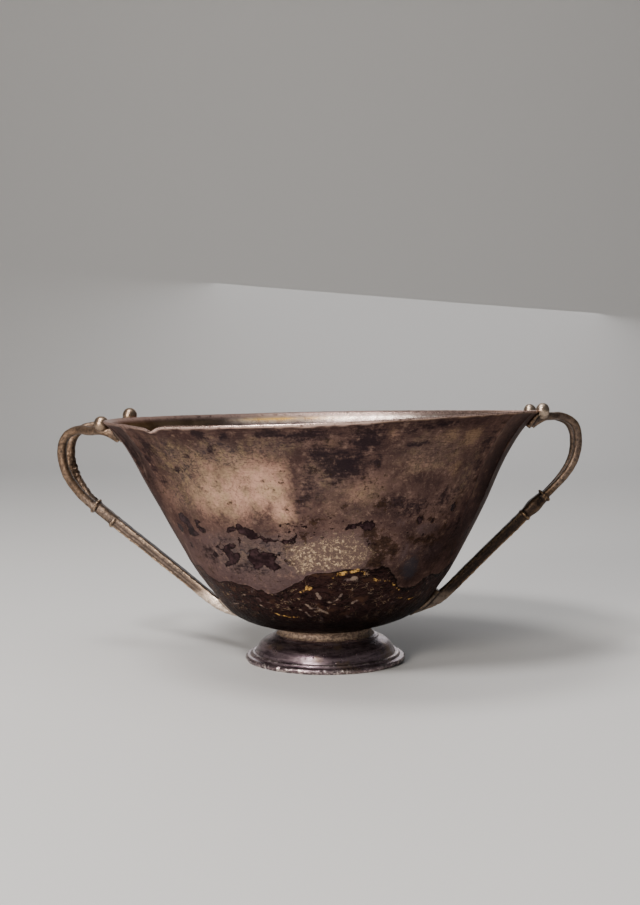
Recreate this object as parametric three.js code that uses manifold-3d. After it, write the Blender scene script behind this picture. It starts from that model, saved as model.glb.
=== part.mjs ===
// Silver skyphos: a raised bowl on a moulded foot, with two cast handles soldered to its wall and lip.
// Millimetres and degrees, +Z up. The foot stands on z = 0 and the right handle points along +X.
import * as THREE from 'three';
import { mergeVertices } from 'three/addons/utils/BufferGeometryUtils.js';
import Module from 'manifold-3d';

const wasm = await Module();
wasm.setup();

// Bowl
const rimRadius = 74.4;
const bowlHeight = 72.5; // from the underside up to where the lip rounds over, at its mean
const bowlWall = 0.9;
const lipWall = 1.2;
const lipDepth = 1.6; // how far down the thicker lip reaches
const bowlSegments = 64;
// The outer wall, as shares of the rim's radius and of the bowl's height, from the underside to the lip
const bowlCurve = [
  [0.231, 0], [0.353, 0.037], [0.44, 0.085], [0.511, 0.168], [0.588, 0.277],
  [0.668, 0.42], [0.75, 0.58], [0.838, 0.772], [0.923, 0.909], [1, 1],
];
const lipWaves = [ // the lip rises and sinks in this many waves around it
  { count: 1, height: 0.24, peak: 170 },
  { count: 2, height: 0.54, peak: 148 },
  { count: 3, height: 0.26, peak: 71 },
];
const dentAngle = 225;
const dentDepth = 2.3;
const dentHalfWidth = 6; // degrees

// Foot, a hollow ring moulding
const footRadius = 27.5;
const footHeight = 11.8; // to the bowl's underside on its axis
const footWall = 1.7;
const footRingWidth = 2.6; // flat ring that the cup stands on
const footSegments = 40;
const collarRadius = 16.2;
const plateEdge = 1.5; // height of the foot's outer edge
const flareTop = 8.4;

// How the bowl sits on the foot
const bowlLean = 1.61; // toward -X
const bowlShift = 0.5; // the bowl was soldered this far off the foot's axis
const solderGap = 0.3;

// Handles, shared by both
const ballRadius = 2.2;
const ballStretch = 1.14; // the balls are a little taller than wide
const ballSpread = 13.3; // from a handle's middle plane to each ball
const collarHeight = 36.4; // lower ring of the sleeve, above the bowl's underside
const strapWidth = 3.8;
const strapThickness = 3.1;
const strapFootWidth = 2.8; // where it runs into the leaf
const strapBendHeight = 11.5; // where it turns down to lie along the wall
const strapBendOut = 4.9;
const leafWidth = 8.4;
const leafTipHeight = 3.2;
const leafTopHeight = 10.2;
const ringBulge = 0.7; // the rings stand this far out of the sleeve
const ringLength = 1.3;
const slit = 0.25; // between the two rods where they leave the sleeve
const loopSpread = 3.85; // from the middle plane to each rod at the loop's outermost point
const armSpread = 5.4; // the same at the top of the loop
const tongueWidth = 5.2; // plate at the end of each rod, flat against the wall
const tongueDrop = 5.2; // from the lip down to its lower edge
const tongueStand = 1.5; // how far its lower edge stands out from the wall

const rightHandle = {
  name: 'right_handle', azimuth: 0,
  reach: 13.7, // from the rim's radius to the middle of the rod at the loop's outermost point
  crown: 7.1, // the same to the top of the loop
  crownDrop: 2.1, // from the mean lip down to the rods at the top of the loop
  loopDrop: 9.7, // from the mean lip down to the outermost point
  collarOut: 16.7, // lower ring of the sleeve, out from the wall
  collarLength: 9.6, collarTilt: 43, // sleeve's length, and its slope above level
  rod: 2.7, sleeve: 4.2, swell: 0.5, // rod and sleeve across, and the sleeve's swelling
  ballOut: 1.2, // ball centre beyond the rim's radius
  ballRise: 0, // ball centre against the mean lip
  roll: 1.6, // the loop leans aside by this much
  colour: 0x6f6357,
};
const leftHandle = {
  name: 'left_handle', azimuth: 166.5,
  reach: 21.4, crown: 13.6, crownDrop: 2.3, loopDrop: 10.4,
  collarOut: 24.8, collarLength: 8.8, collarTilt: 39,
  rod: 3.1, sleeve: 4.4, swell: 0,
  ballOut: 2.6, ballRise: 1.1, roll: 4.8,
  colour: 0x85735f,
};

const silver = (name, colour) =>
  new THREE.MeshStandardMaterial({ name, color: colour, metalness: 1, roughness: 0.42 });

// Solids

// A closed geometry as a solid, without the triangles that collapse on an axis
function toSolid(geometry) {
  const bare = geometry.clone();
  bare.deleteAttribute('normal');
  bare.deleteAttribute('uv');
  const merged = mergeVertices(bare, 1e-4);
  const triangles = [];
  const index = merged.index.array;
  for (let i = 0; i < index.length; i += 3) {
    const [a, b, c] = index.subarray(i, i + 3);
    if (a !== b && b !== c && c !== a) triangles.push(a, b, c);
  }
  return new wasm.Manifold(new wasm.Mesh({
    numProp: 3,
    vertProperties: new Float32Array(merged.attributes.position.array),
    triVerts: new Uint32Array(triangles),
  }));
}

function toGeometry(solid) {
  const mesh = solid.getMesh();
  const geometry = new THREE.BufferGeometry();
  geometry.setAttribute('position', new THREE.BufferAttribute(mesh.vertProperties, 3));
  geometry.setIndex(new THREE.BufferAttribute(mesh.triVerts, 1));
  geometry.computeVertexNormals();
  return geometry;
}

const join = (geometries) => geometries.map(toSolid).reduce((whole, next) => whole.add(next));

// A lathe around Z. The profile holds [radius, z] pairs, up the outside first.
function turned(profile, segments) {
  const lathe = new THREE.LatheGeometry(profile.map(([r, z]) => new THREE.Vector2(r, z)), segments);
  return lathe.rotateX(Math.PI / 2);
}

const radians = THREE.MathUtils.degToRad;
const degrees = THREE.MathUtils.radToDeg;
const mix = THREE.MathUtils.lerp;

// Bowl, made about its own axis with its underside at z = 0

const wallSpline = new THREE.SplineCurve(
  bowlCurve.map(([r, z]) => new THREE.Vector2(r * rimRadius, z * bowlHeight)));
const underside = wallSpline.points[0].x;
const wallSteps = 11;

// The wall from the underside to the lip, moved out by some growth square to itself
function wallLine(growth) {
  const points = [];
  for (let i = 0; i <= wallSteps; i++) {
    const share = (i / wallSteps) ** 0.9;
    const point = wallSpline.getPoint(share);
    const along = wallSpline.getTangent(share);
    points.push([point.x + growth * along.y, point.y - growth * along.x]);
  }
  return points;
}

function wallRadius(height) {
  let low = 0;
  let high = 1;
  while (high - low > 1e-6) {
    const middle = (low + high) / 2;
    if (wallSpline.getPoint(middle).y < height) low = middle;
    else high = middle;
  }
  return wallSpline.getPoint(low).x;
}

// How far the lip lies above its mean height, at an angle around the bowl
function lipRise(angle) {
  const waves = lipWaves.map(({ count, height, peak }) => height * Math.cos(count * radians(angle - peak)));
  return waves.reduce((sum, wave) => sum + wave);
}

// Bends a bowl that was made true: its lip waves and carries the dent, and both fade down the wall
function bendLip(geometry) {
  const place = geometry.attributes.position;
  for (let i = 0; i < place.count; i++) {
    const share = THREE.MathUtils.clamp(place.getZ(i) / bowlHeight, 0, 1);
    const angle = THREE.MathUtils.euclideanModulo(degrees(Math.atan2(place.getY(i), place.getX(i))), 360);
    const dent = dentDepth * Math.max(0, 1 - Math.abs(angle - dentAngle) / dentHalfWidth);
    place.setZ(i, place.getZ(i) + lipRise(angle) * share ** 3 - dent * share ** 12);
  }
  return geometry;
}

function bowlGeometry() {
  const inside = wallLine(-bowlWall).slice(1, -1).reverse();
  const lip = [
    [rimRadius - 0.2 * lipWall, bowlHeight + 0.3 * lipWall],
    [rimRadius - 0.8 * lipWall, bowlHeight + 0.3 * lipWall],
    [rimRadius - lipWall, bowlHeight],
    [wallRadius(bowlHeight - lipDepth) - lipWall, bowlHeight - lipDepth],
  ];
  const profile = [[0, 0], ...wallLine(0), ...lip, ...inside, [underside, bowlWall], [0, bowlWall]];
  return bendLip(turned(profile, bowlSegments));
}

// The bowl filled up and grown by the soldered joint, to cut what is soldered to it
function seatGeometry() {
  const top = bowlHeight + 0.3 * lipWall + solderGap;
  const outside = wallLine(solderGap).slice(1);
  const profile = [
    [0, -solderGap], [underside, -solderGap], ...outside, [rimRadius + solderGap, top], [0, top],
  ];
  return bendLip(turned(profile, bowlSegments));
}

// Foot

function footGeometry() {
  const shoulder = collarRadius + 2.1;
  const above = footHeight + 1; // the bowl's underside cuts the collar off
  const outside = [
    [footRadius, 0],
    [footRadius + 0.35, 0.5 * plateEdge],
    [footRadius + 0.3, plateEdge],
    [footRadius - 2.4, plateEdge + 0.8],
    [footRadius - 2.9, plateEdge + 0.9],
    [footRadius - 3, plateEdge + 1.5],
    [footRadius - 3.3, plateEdge + 2.6],
    [footRadius - 4.7, plateEdge + 4.1],
    [footRadius - 6.7, plateEdge + 5.7],
    [shoulder + 0.3, flareTop],
    [shoulder, flareTop + 0.3],
    [shoulder - 0.9, flareTop + 0.5],
    [collarRadius, flareTop + 0.5],
    [collarRadius - 0.15, mix(flareTop, footHeight, 0.5)],
    [collarRadius + 0.1, footHeight - 0.5],
    [collarRadius + 0.1, above],
  ];
  const hollow = [
    [collarRadius - footWall, above],
    [collarRadius - footWall, flareTop - 0.4],
    [shoulder - 0.6, flareTop - footWall],
    [footRadius - 6.9, plateEdge + 5.3 - footWall],
    [footRadius - footRingWidth - 2.4, plateEdge + 2.9 - footWall],
    [footRadius - footRingWidth - 0.4, plateEdge],
    [footRadius - footRingWidth, 0],
  ];
  return turned([...outside, ...hollow, outside[0]], footSegments);
}

// Handles. Their middle plane is drawn with x out from the bowl's axis and y up, and y = 0 in space.

// A point that lies this far out from the wall, square to it
function offWall(height, out) {
  const step = 0.5;
  const along = new THREE.Vector2(wallRadius(height + step) - wallRadius(height - step), 2 * step).normalize();
  return new THREE.Vector2(wallRadius(height) + out * along.y, height - out * along.x);
}

const inSpace = ({ x, y }, aside = 0) => new THREE.Vector3(x, aside, y);
const smoothCurve = (points) => new THREE.CatmullRomCurve3(points, false, 'centripetal');

// A rod bent along a curve. Its half width and half depth are functions of the share of its length.
function bentRod(curve, steps, sides, halfWidth, halfDepth, squareness = 2) {
  const rod = new THREE.CylinderGeometry(1, 1, 1, sides, steps);
  const place = rod.attributes.position;
  const aside = new THREE.Vector3(0, 1, 0);
  const across = new THREE.Vector3();
  const outward = new THREE.Vector3();
  const squared = (value) => Math.sign(value) * Math.abs(value) ** (2 / squareness);
  for (let i = 0; i < place.count; i++) {
    const share = THREE.MathUtils.clamp(place.getY(i) + 0.5, 0, 1);
    const point = curve.getPointAt(share);
    const along = curve.getTangentAt(share);
    across.copy(aside).addScaledVector(along, -aside.dot(along)).normalize();
    outward.crossVectors(across, along);
    point.addScaledVector(across, squared(place.getX(i)) * halfWidth(share));
    point.addScaledVector(outward, squared(place.getZ(i)) * halfDepth(share));
    place.setXYZ(i, point.x, point.y, point.z);
  }
  return rod;
}

// Lays a flat piece round the wall, whose radius it takes at a height
function wrapped(geometry, height) {
  const place = geometry.attributes.position;
  const radius = wallRadius(height);
  for (let i = 0; i < place.count; i++) {
    place.setX(i, place.getX(i) - radius + Math.sqrt(radius ** 2 - place.getY(i) ** 2));
  }
  return geometry;
}

// The strap, from the leaf's point up to the sleeve
function strapGeometry(collarFoot) {
  const bend = offWall(strapBendHeight, strapBendOut);
  const curve = smoothCurve([
    inSpace(offWall(leafTipHeight, 0.3)),
    inSpace(offWall(mix(leafTipHeight, strapBendHeight, 0.45), 0.47 * strapBendOut)),
    inSpace(bend),
    inSpace(bend.clone().lerp(collarFoot, 0.3)),
    inSpace(bend.clone().lerp(collarFoot, 0.75)),
    inSpace(collarFoot),
  ]);
  const leafShare = 0.2; // of the strap's length
  const halfWidth = (s) => (s < leafShare
    ? mix(0.45, strapFootWidth / 2, s / leafShare)
    : mix(strapFootWidth / 2, strapWidth / 2, (s - leafShare) / (1 - leafShare)));
  const halfDepth = (s) => (s < leafShare ? mix(0.4, strapThickness / 2, s / leafShare) : strapThickness / 2);
  return bentRod(curve, 12, 10, halfWidth, halfDepth, 3.2);
}

// The leaf that spreads the strap's end on the wall
function leafGeometry() {
  const curve = smoothCurve([0, 0.35, 0.7, 1].map((s) =>
    inSpace(offWall(mix(leafTipHeight - 0.4, leafTopHeight, s), 0.2))));
  const halfWidth = (s) => 0.5 * leafWidth * Math.sin(Math.PI * mix(0.04, 0.8, s)) ** 1.2;
  const leaf = bentRod(curve, 6, 10, halfWidth, (s) => mix(0.6, 2.7, s ** 1.5), 2.6);
  return wrapped(leaf, mix(leafTipHeight, leafTopHeight, 0.5));
}

// The sleeve between its two rings
function sleeveGeometries(form, collarFoot, collarHead) {
  const swelling = (s) => form.sleeve / 2 + form.swell * Math.sin(Math.PI * s) ** 2;
  const line = new THREE.LineCurve3(inSpace(collarFoot), inSpace(collarHead));
  const sleeve = bentRod(line, 4, 10, swelling, (s) => 0.92 * swelling(s), 2.6);
  const ringHalf = form.sleeve / 2 + ringBulge;
  const share = ringLength / form.collarLength / 2;
  const rings = [0, 1].map((end) => bentRod(
    new THREE.LineCurve3(
      inSpace(collarFoot.clone().lerp(collarHead, end - share)),
      inSpace(collarFoot.clone().lerp(collarHead, end + share))),
    1, 12, () => ringHalf, () => 0.95 * ringHalf));
  return [sleeve, ...rings];
}

// One of the two rods of the loop, with the ball over its end and the tongue that lies on the wall
function rodGeometries(form, collarFoot, collarHead, way) {
  const outermost = new THREE.Vector2(rimRadius + form.reach, bowlHeight - form.loopDrop);
  const crown = new THREE.Vector2(rimRadius + form.crown, bowlHeight - form.crownDrop);
  const tongueFoot = bowlHeight - tongueDrop;
  const rodHalf = form.rod / 2;
  const startAside = rodHalf + slit / 2;
  const endAside = ballSpread - 0.9;
  const onWall = offWall(tongueFoot + 0.9, 0.6);
  const ballHeight = bowlHeight + form.ballRise;
  const ballOut = Math.sqrt((rimRadius + form.ballOut) ** 2 - ballSpread ** 2);
  const between = (a, b, s, t) => new THREE.Vector2(mix(a.x, b.x, s), mix(a.y, b.y, t));
  const curve = smoothCurve([
    inSpace(collarFoot.clone().lerp(collarHead, 0.9), way * (startAside - 0.3)),
    inSpace(collarFoot.clone().lerp(collarHead, 1.4), way * startAside),
    inSpace(between(collarHead, outermost, 0.84, 0.56), way * mix(startAside, loopSpread, 0.7)),
    inSpace(outermost, way * loopSpread),
    inSpace(between(outermost, crown, 0.29, 0.71), way * mix(loopSpread, armSpread, 0.4)),
    inSpace(crown, way * armSpread),
    new THREE.Vector3(mix(crown.x, ballOut, 0.5), way * mix(armSpread, endAside, 0.55), crown.y),
    new THREE.Vector3(ballOut, way * endAside, ballHeight - ballRadius),
    new THREE.Vector3(Math.sqrt(onWall.x ** 2 - endAside ** 2), way * endAside, onWall.y),
  ]);
  const rod = bentRod(curve, 21, 8, () => rodHalf, () => rodHalf);
  const ball = new THREE.SphereGeometry(ballRadius, 10, 7).rotateX(Math.PI / 2);
  ball.scale(1, 1, ballStretch).translate(ballOut, way * ballSpread, ballHeight);
  const tongueLine = new THREE.LineCurve3(
    inSpace(offWall(tongueFoot, 0)), inSpace(offWall(bowlHeight - 1.2, 0)));
  const tongue = bentRod(tongueLine, 4, 8, () => tongueWidth / 2, (s) => mix(tongueStand, 0.9, s), 3.5);
  tongue.rotateZ(way * Math.asin(endAside / wallRadius(tongueFoot)));
  const lean = new THREE.Matrix4().makeShear(0, 0, 0, -Math.tan(radians(form.roll)), 0, 0);
  return [rod, ball, tongue].map((part) => part.applyMatrix4(lean));
}

function handleSolid(form) {
  const tilt = radians(form.collarTilt);
  const collarFoot = new THREE.Vector2(wallRadius(collarHeight) + form.collarOut, collarHeight);
  const along = new THREE.Vector2(Math.cos(tilt), Math.sin(tilt));
  const collarHead = collarFoot.clone().addScaledVector(along, form.collarLength);
  const parts = [
    strapGeometry(collarFoot),
    leafGeometry(),
    ...sleeveGeometries(form, collarFoot, collarHead),
    ...rodGeometries(form, collarFoot, collarHead, -1),
    ...rodGeometries(form, collarFoot, collarHead, 1),
  ];
  for (const part of parts) part.rotateZ(radians(form.azimuth));
  return join(parts).subtract(toSolid(seatGeometry()));
}

// The cup, with the origin on the table under the middle of its outline

const cup = new THREE.Group();

const leaning = new THREE.Group();
leaning.position.set(bowlShift, 0, footHeight);
leaning.rotation.y = radians(-bowlLean);
leaning.updateMatrix();
cup.add(leaning);

const bowl = new THREE.Mesh(toGeometry(toSolid(bowlGeometry())), silver('tarnished_silver', 0x77695f));
bowl.name = 'bowl';
leaning.add(bowl);

for (const form of [leftHandle, rightHandle]) {
  const handle = new THREE.Mesh(toGeometry(handleSolid(form)), silver('cast_silver', form.colour));
  handle.name = form.name;
  leaning.add(handle);
}

const seat = toSolid(seatGeometry().applyMatrix4(leaning.matrix));
const foot = new THREE.Mesh(toGeometry(toSolid(footGeometry()).subtract(seat)), silver('foot_silver', 0x5e5152));
foot.name = 'foot';
cup.add(foot);

const outline = new THREE.Box3().setFromObject(cup, true);
const middle = outline.getCenter(new THREE.Vector3());
cup.position.set(-middle.x, -middle.y, -outline.min.z);

export default cup;
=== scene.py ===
# Ancient silver skyphos: a raised bowl on a moulded foot, with two cast handles soldered to its wall and lip.
# Shapes are drawn in millimetres in the bowl's own upright frame, then laid in the row frame in metres.
import math

import bpy
import numpy as np
from mathutils import Matrix, Vector


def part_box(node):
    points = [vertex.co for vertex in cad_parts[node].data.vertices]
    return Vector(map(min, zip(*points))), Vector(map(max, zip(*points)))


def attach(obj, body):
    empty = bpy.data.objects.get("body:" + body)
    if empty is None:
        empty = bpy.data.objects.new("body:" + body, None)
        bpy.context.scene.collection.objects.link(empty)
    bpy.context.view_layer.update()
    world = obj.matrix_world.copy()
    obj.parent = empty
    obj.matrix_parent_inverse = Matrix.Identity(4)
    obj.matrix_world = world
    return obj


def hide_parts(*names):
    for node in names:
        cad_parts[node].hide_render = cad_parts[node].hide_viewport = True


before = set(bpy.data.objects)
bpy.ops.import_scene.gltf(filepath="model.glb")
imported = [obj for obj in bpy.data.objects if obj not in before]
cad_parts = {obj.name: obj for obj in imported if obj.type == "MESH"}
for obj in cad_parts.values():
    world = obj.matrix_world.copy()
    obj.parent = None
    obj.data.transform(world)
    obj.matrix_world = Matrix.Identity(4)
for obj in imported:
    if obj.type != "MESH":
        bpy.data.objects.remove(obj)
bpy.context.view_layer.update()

# Camera: level with the lip and looking slightly down across the table at the long side of the cup. Its picture is
# 905 rows high, and the eye is 1291.6 of these rows away from it.
foot_low, foot_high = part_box("foot")
foot_axis = (foot_low.x + foot_high.x) / 2
eye_rows, picture_rows, rows_down, sensor = 1291.6, 905, 66, 36


def set_down(name, data):
    thing = bpy.data.objects.new(name, data)
    bpy.context.scene.collection.objects.link(thing)
    return thing


camera = set_down("camera", bpy.data.cameras.new("camera"))
camera.location = (foot_axis - 0.00189, -0.447, 0.0949)
camera.rotation_euler = (math.radians(90) - math.atan(rows_down / 1277), 0, 0)
camera.data.lens, camera.data.sensor_width = eye_rows / picture_rows * sensor, sensor
camera.data.clip_start, camera.data.clip_end = 0.01, 20
bpy.context.scene.camera = camera

# Bowl: one sheet of silver raised by hammering, 0.9 mm thick, with a lip left a little thicker and rounded over.
# It leans on its foot, its lip waves and is dented at the near left, and burial has left dark tarnish, crisp
# purple-brown blotches and a brown crust below. It is soldered to the foot's collar.
rim_radius, bowl_height, wall, lip_wall = 74.4, 72.5, 0.9, 1.2
bowl_lean, bowl_shift, bowl_seat = 1.61, 0.5, 11.8
lay_bowl = (
    Matrix.Translation((foot_axis + bowl_shift / 1000, 0, bowl_seat / 1000))
    @ Matrix.Rotation(math.radians(-bowl_lean), 4, "Y")
    @ Matrix.Scale(0.001, 4)
)
wall_shares = [
    (0.231, 0), (0.353, 0.037), (0.44, 0.085), (0.511, 0.168), (0.588, 0.277),
    (0.668, 0.42), (0.75, 0.58), (0.838, 0.772), (0.923, 0.909), (1, 1),
]


def smooth_line(points, count):
    """Evenly spaced points on the smooth line through a few given ones."""
    points = np.array(points, float)
    last = len(points) - 1
    knots = np.concatenate([[0], np.cumsum(np.linalg.norm(np.diff(points, axis=0), axis=1) ** 0.7)])
    gap = np.diff(knots)
    system, pull = np.eye(last + 1), np.zeros_like(points)
    for i in range(1, last):
        system[i, i - 1 : i + 2] = gap[i - 1], 2 * (gap[i - 1] + gap[i]), gap[i]
        pull[i] = 6 * ((points[i + 1] - points[i]) / gap[i] - (points[i] - points[i - 1]) / gap[i - 1])
    bend = np.linalg.solve(system, pull)
    at = np.linspace(0, knots[-1], 60 * last)
    k = np.clip(np.searchsorted(knots, at, side="right") - 1, 0, last - 1)
    before, after, g = (at - knots[k])[:, None], (knots[k + 1] - at)[:, None], gap[k][:, None]
    line = (bend[k] * after**3 + bend[k + 1] * before**3) / (6 * g)
    line += (points[k] / g - bend[k] * g / 6) * after + (points[k + 1] / g - bend[k + 1] * g / 6) * before
    run = np.concatenate([[0], np.cumsum(np.linalg.norm(np.diff(line, axis=0), axis=1))])
    even = np.linspace(0, run[-1], count)
    return np.stack([np.interp(even, run, line[:, axis]) for axis in range(points.shape[1])], -1)


def ripple(points, size, seed, count=28):
    """Smooth lumps of about this size in mm, from -1 to 1, at 3-D points."""
    random = np.random.default_rng(seed)
    ways = random.normal(size=(count, 3))
    ways *= (2 * math.pi / size * random.uniform(0.35, 1, count) / np.linalg.norm(ways, axis=1))[:, None]
    turn = random.uniform(0, 2 * math.pi, count)
    return np.clip(np.cos(points @ ways.T + turn).sum(1) / math.sqrt(count), -1.6, 1.6) / 1.6


def ease(value, low, high):
    share = np.clip((value - low) / (high - low), 0, 1)
    return share * share * (3 - 2 * share)


def inside_by(points, outline):
    """How far each 2-D point lies inside a closed outline, and below 0 outside it."""
    outline = np.array(outline, float)
    nearest = np.full(len(points), 1e9)
    within = np.zeros(len(points), bool)
    for a, b in zip(outline, np.roll(outline, -1, axis=0)):
        side, reach = b - a, points - a
        share = np.clip(reach @ side / (side @ side), 0, 1)
        nearest = np.minimum(nearest, np.linalg.norm(reach - share[:, None] * side, axis=1))
        crosses = (a[1] > points[:, 1]) != (b[1] > points[:, 1])
        where = a[0] + (points[:, 1] - a[1]) * side[0] / (side[1] if side[1] else 1e-9)
        within ^= crosses & (points[:, 0] < where)
    return np.where(within, nearest, -nearest)


def off_line(points, line):
    """How far each 2-D point lies from an open line."""
    line = np.array(line, float)
    nearest = np.full(len(points), 1e9)
    for a, b in zip(line[:-1], line[1:]):
        side, reach = b - a, points - a
        share = np.clip(reach @ side / (side @ side), 0, 1)
        nearest = np.minimum(nearest, np.linalg.norm(reach - share[:, None] * side, axis=1))
    return nearest


def ring_faces(rows, turns):
    """Quads of a closed turned grid, and fans at its first and last row, which are single points."""
    faces = []
    for row in range(1, rows - 2):
        a = 1 + (row - 1) * turns
        faces += [(a + i, a + (i + 1) % turns, a + turns + (i + 1) % turns, a + turns + i) for i in range(turns)]
    end = 1 + (rows - 3) * turns
    faces += [(0, 1 + (i + 1) % turns, 1 + i) for i in range(turns)]
    faces += [(end + turns, end + i, end + (i + 1) % turns) for i in range(turns)]
    return faces


def upright(radii, azimuths, heights):
    """3-D points from radii, azimuths in degrees and heights around the bowl's axis."""
    return np.stack([radii * np.cos(np.radians(azimuths)), radii * np.sin(np.radians(azimuths)), heights], -1)


def new_piece(name, points, faces, lay, fields=()):
    """A smooth-shaded mesh from points in mm, laid in the row frame, with named values at its points."""
    mesh = bpy.data.meshes.new(name)
    mesh.from_pydata(points.tolist(), [], faces)
    mesh.transform(lay)
    mesh.validate()
    mesh.shade_smooth()
    for field, values in dict(fields).items():
        mesh.attributes.new(field, "FLOAT", "POINT").data.foreach_set("value", values.astype(np.float32))
    return set_down(name, mesh)


fine_turns, plain_turns = 312, 200  # the grid is closer together from azimuth 195 to 345, where the wall is best seen
bowl_turns = fine_turns + plain_turns
azimuth = np.concatenate([
    np.linspace(195, 345, fine_turns, endpoint=False), np.linspace(345, 555, plain_turns, endpoint=False)]) % 360
azimuth = np.sort(azimuth)
outer_wall = smooth_line([(r * rim_radius, q * bowl_height) for r, q in wall_shares], 900)
run = np.linspace(0, 1, 900)
rows_at = np.cumsum(np.interp(np.linspace(0, 1, 116), [0, 0.4, 0.5, 0.93, 0.97, 1], [0.6, 0.6, 1, 1, 0.6, 0.5]))
rows_at = (rows_at - rows_at[0]) / (rows_at[-1] - rows_at[0])
outer_wall = np.stack([np.interp(rows_at, run, outer_wall[:, axis]) for axis in (0, 1)], -1)
along = np.gradient(outer_wall, axis=0)
along /= np.linalg.norm(along, axis=1)[:, None]
square_out = np.stack([along[:, 1], -along[:, 0]], -1)
lip_growth = (lip_wall - wall) * ease(outer_wall[:, 1], bowl_height - 2.4, bowl_height - 1.2)
inner_wall = (outer_wall - square_out * (wall + lip_growth)[:, None])[::-1][::3]
lip_over = [
    (rim_radius - 0.04, bowl_height + 0.14), (rim_radius - 0.15, bowl_height + 0.27),
    (rim_radius - 0.34, bowl_height + 0.35), (rim_radius - 0.62, bowl_height + 0.36),
    (rim_radius - 0.88, bowl_height + 0.3), (rim_radius - 1.07, bowl_height + 0.14),
]
underside = outer_wall[0, 0]
profile = np.concatenate([
    [(0, 0), (underside * 0.35, 0), (underside * 0.7, 0)], outer_wall, lip_over, inner_wall[1:-1],
    [(underside * 0.8, wall), (underside * 0.4, wall), (0, wall)],
])
grid_radius = np.repeat(profile[1:-1, 0], bowl_turns)
grid_height = np.repeat(profile[1:-1, 1], bowl_turns)
grid_azimuth = np.tile(azimuth, len(profile) - 2)
row_number = np.repeat(np.arange(1, len(profile) - 1), bowl_turns)
is_outer = row_number < 3 + len(outer_wall) + 3
is_inner = row_number > 3 + len(outer_wall) + len(lip_over)


front, true_radius = 270, 50  # azimuths count from the right handle, and the front of the cup is at 270 degrees


def on_wall(places):
    """Azimuth and height on the wall as flat millimetres, true where the wall's radius is 50 mm."""
    places = np.array(places, float)
    up = np.interp(places[..., 1], outer_wall[:, 1], np.concatenate(
        [[0], np.cumsum(np.linalg.norm(np.diff(outer_wall, axis=0), axis=1))]))
    return np.stack([np.radians(places[..., 0] - front) * true_radius, up], -1)


grid_place = on_wall(np.stack([grid_azimuth, grid_height], -1))
true_points = upright(grid_radius, grid_azimuth, grid_height)

# where the brown crust ends on the wall, around the bowl
crust_top = [
    (0, 22), (20, 25), (48, 19), (75, 24), (96, 28), (118, 21), (140, 17), (166, 21), (188, 27), (200, 24.5),
    (207.8, 24.3), (210, 21.5), (217, 20.2), (223.2, 20.6), (227.2, 21.1), (230.8, 20.4), (235.8, 20.3),
    (238.8, 18.8), (241.5, 18.7), (244, 17.2), (247, 17.5), (251.2, 19), (254.7, 19.9), (257.3, 21.1), (261, 22.7),
    (262, 23.9), (265.2, 24.4), (270.5, 25.3), (274.5, 25.3), (278.5, 25.8), (285, 26), (288, 25.2), (292, 25.8),
    (296, 24.6), (299.5, 21.4), (302.2, 19.2), (308.5, 17.2), (313.5, 17.6), (317, 19.5), (321, 21), (328, 20),
    (340, 23), (350, 20), (360, 22),
]
crust = np.interp(grid_azimuth, *np.array(crust_top).T) - grid_height
crust += 0.5 * ripple(true_points, 5, 3)
crust *= np.interp(grid_azimuth, [200, 208, 284, 292, 330, 350], [1.3, 1.3, 1.3, 0.35, 0.35, 1])

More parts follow.
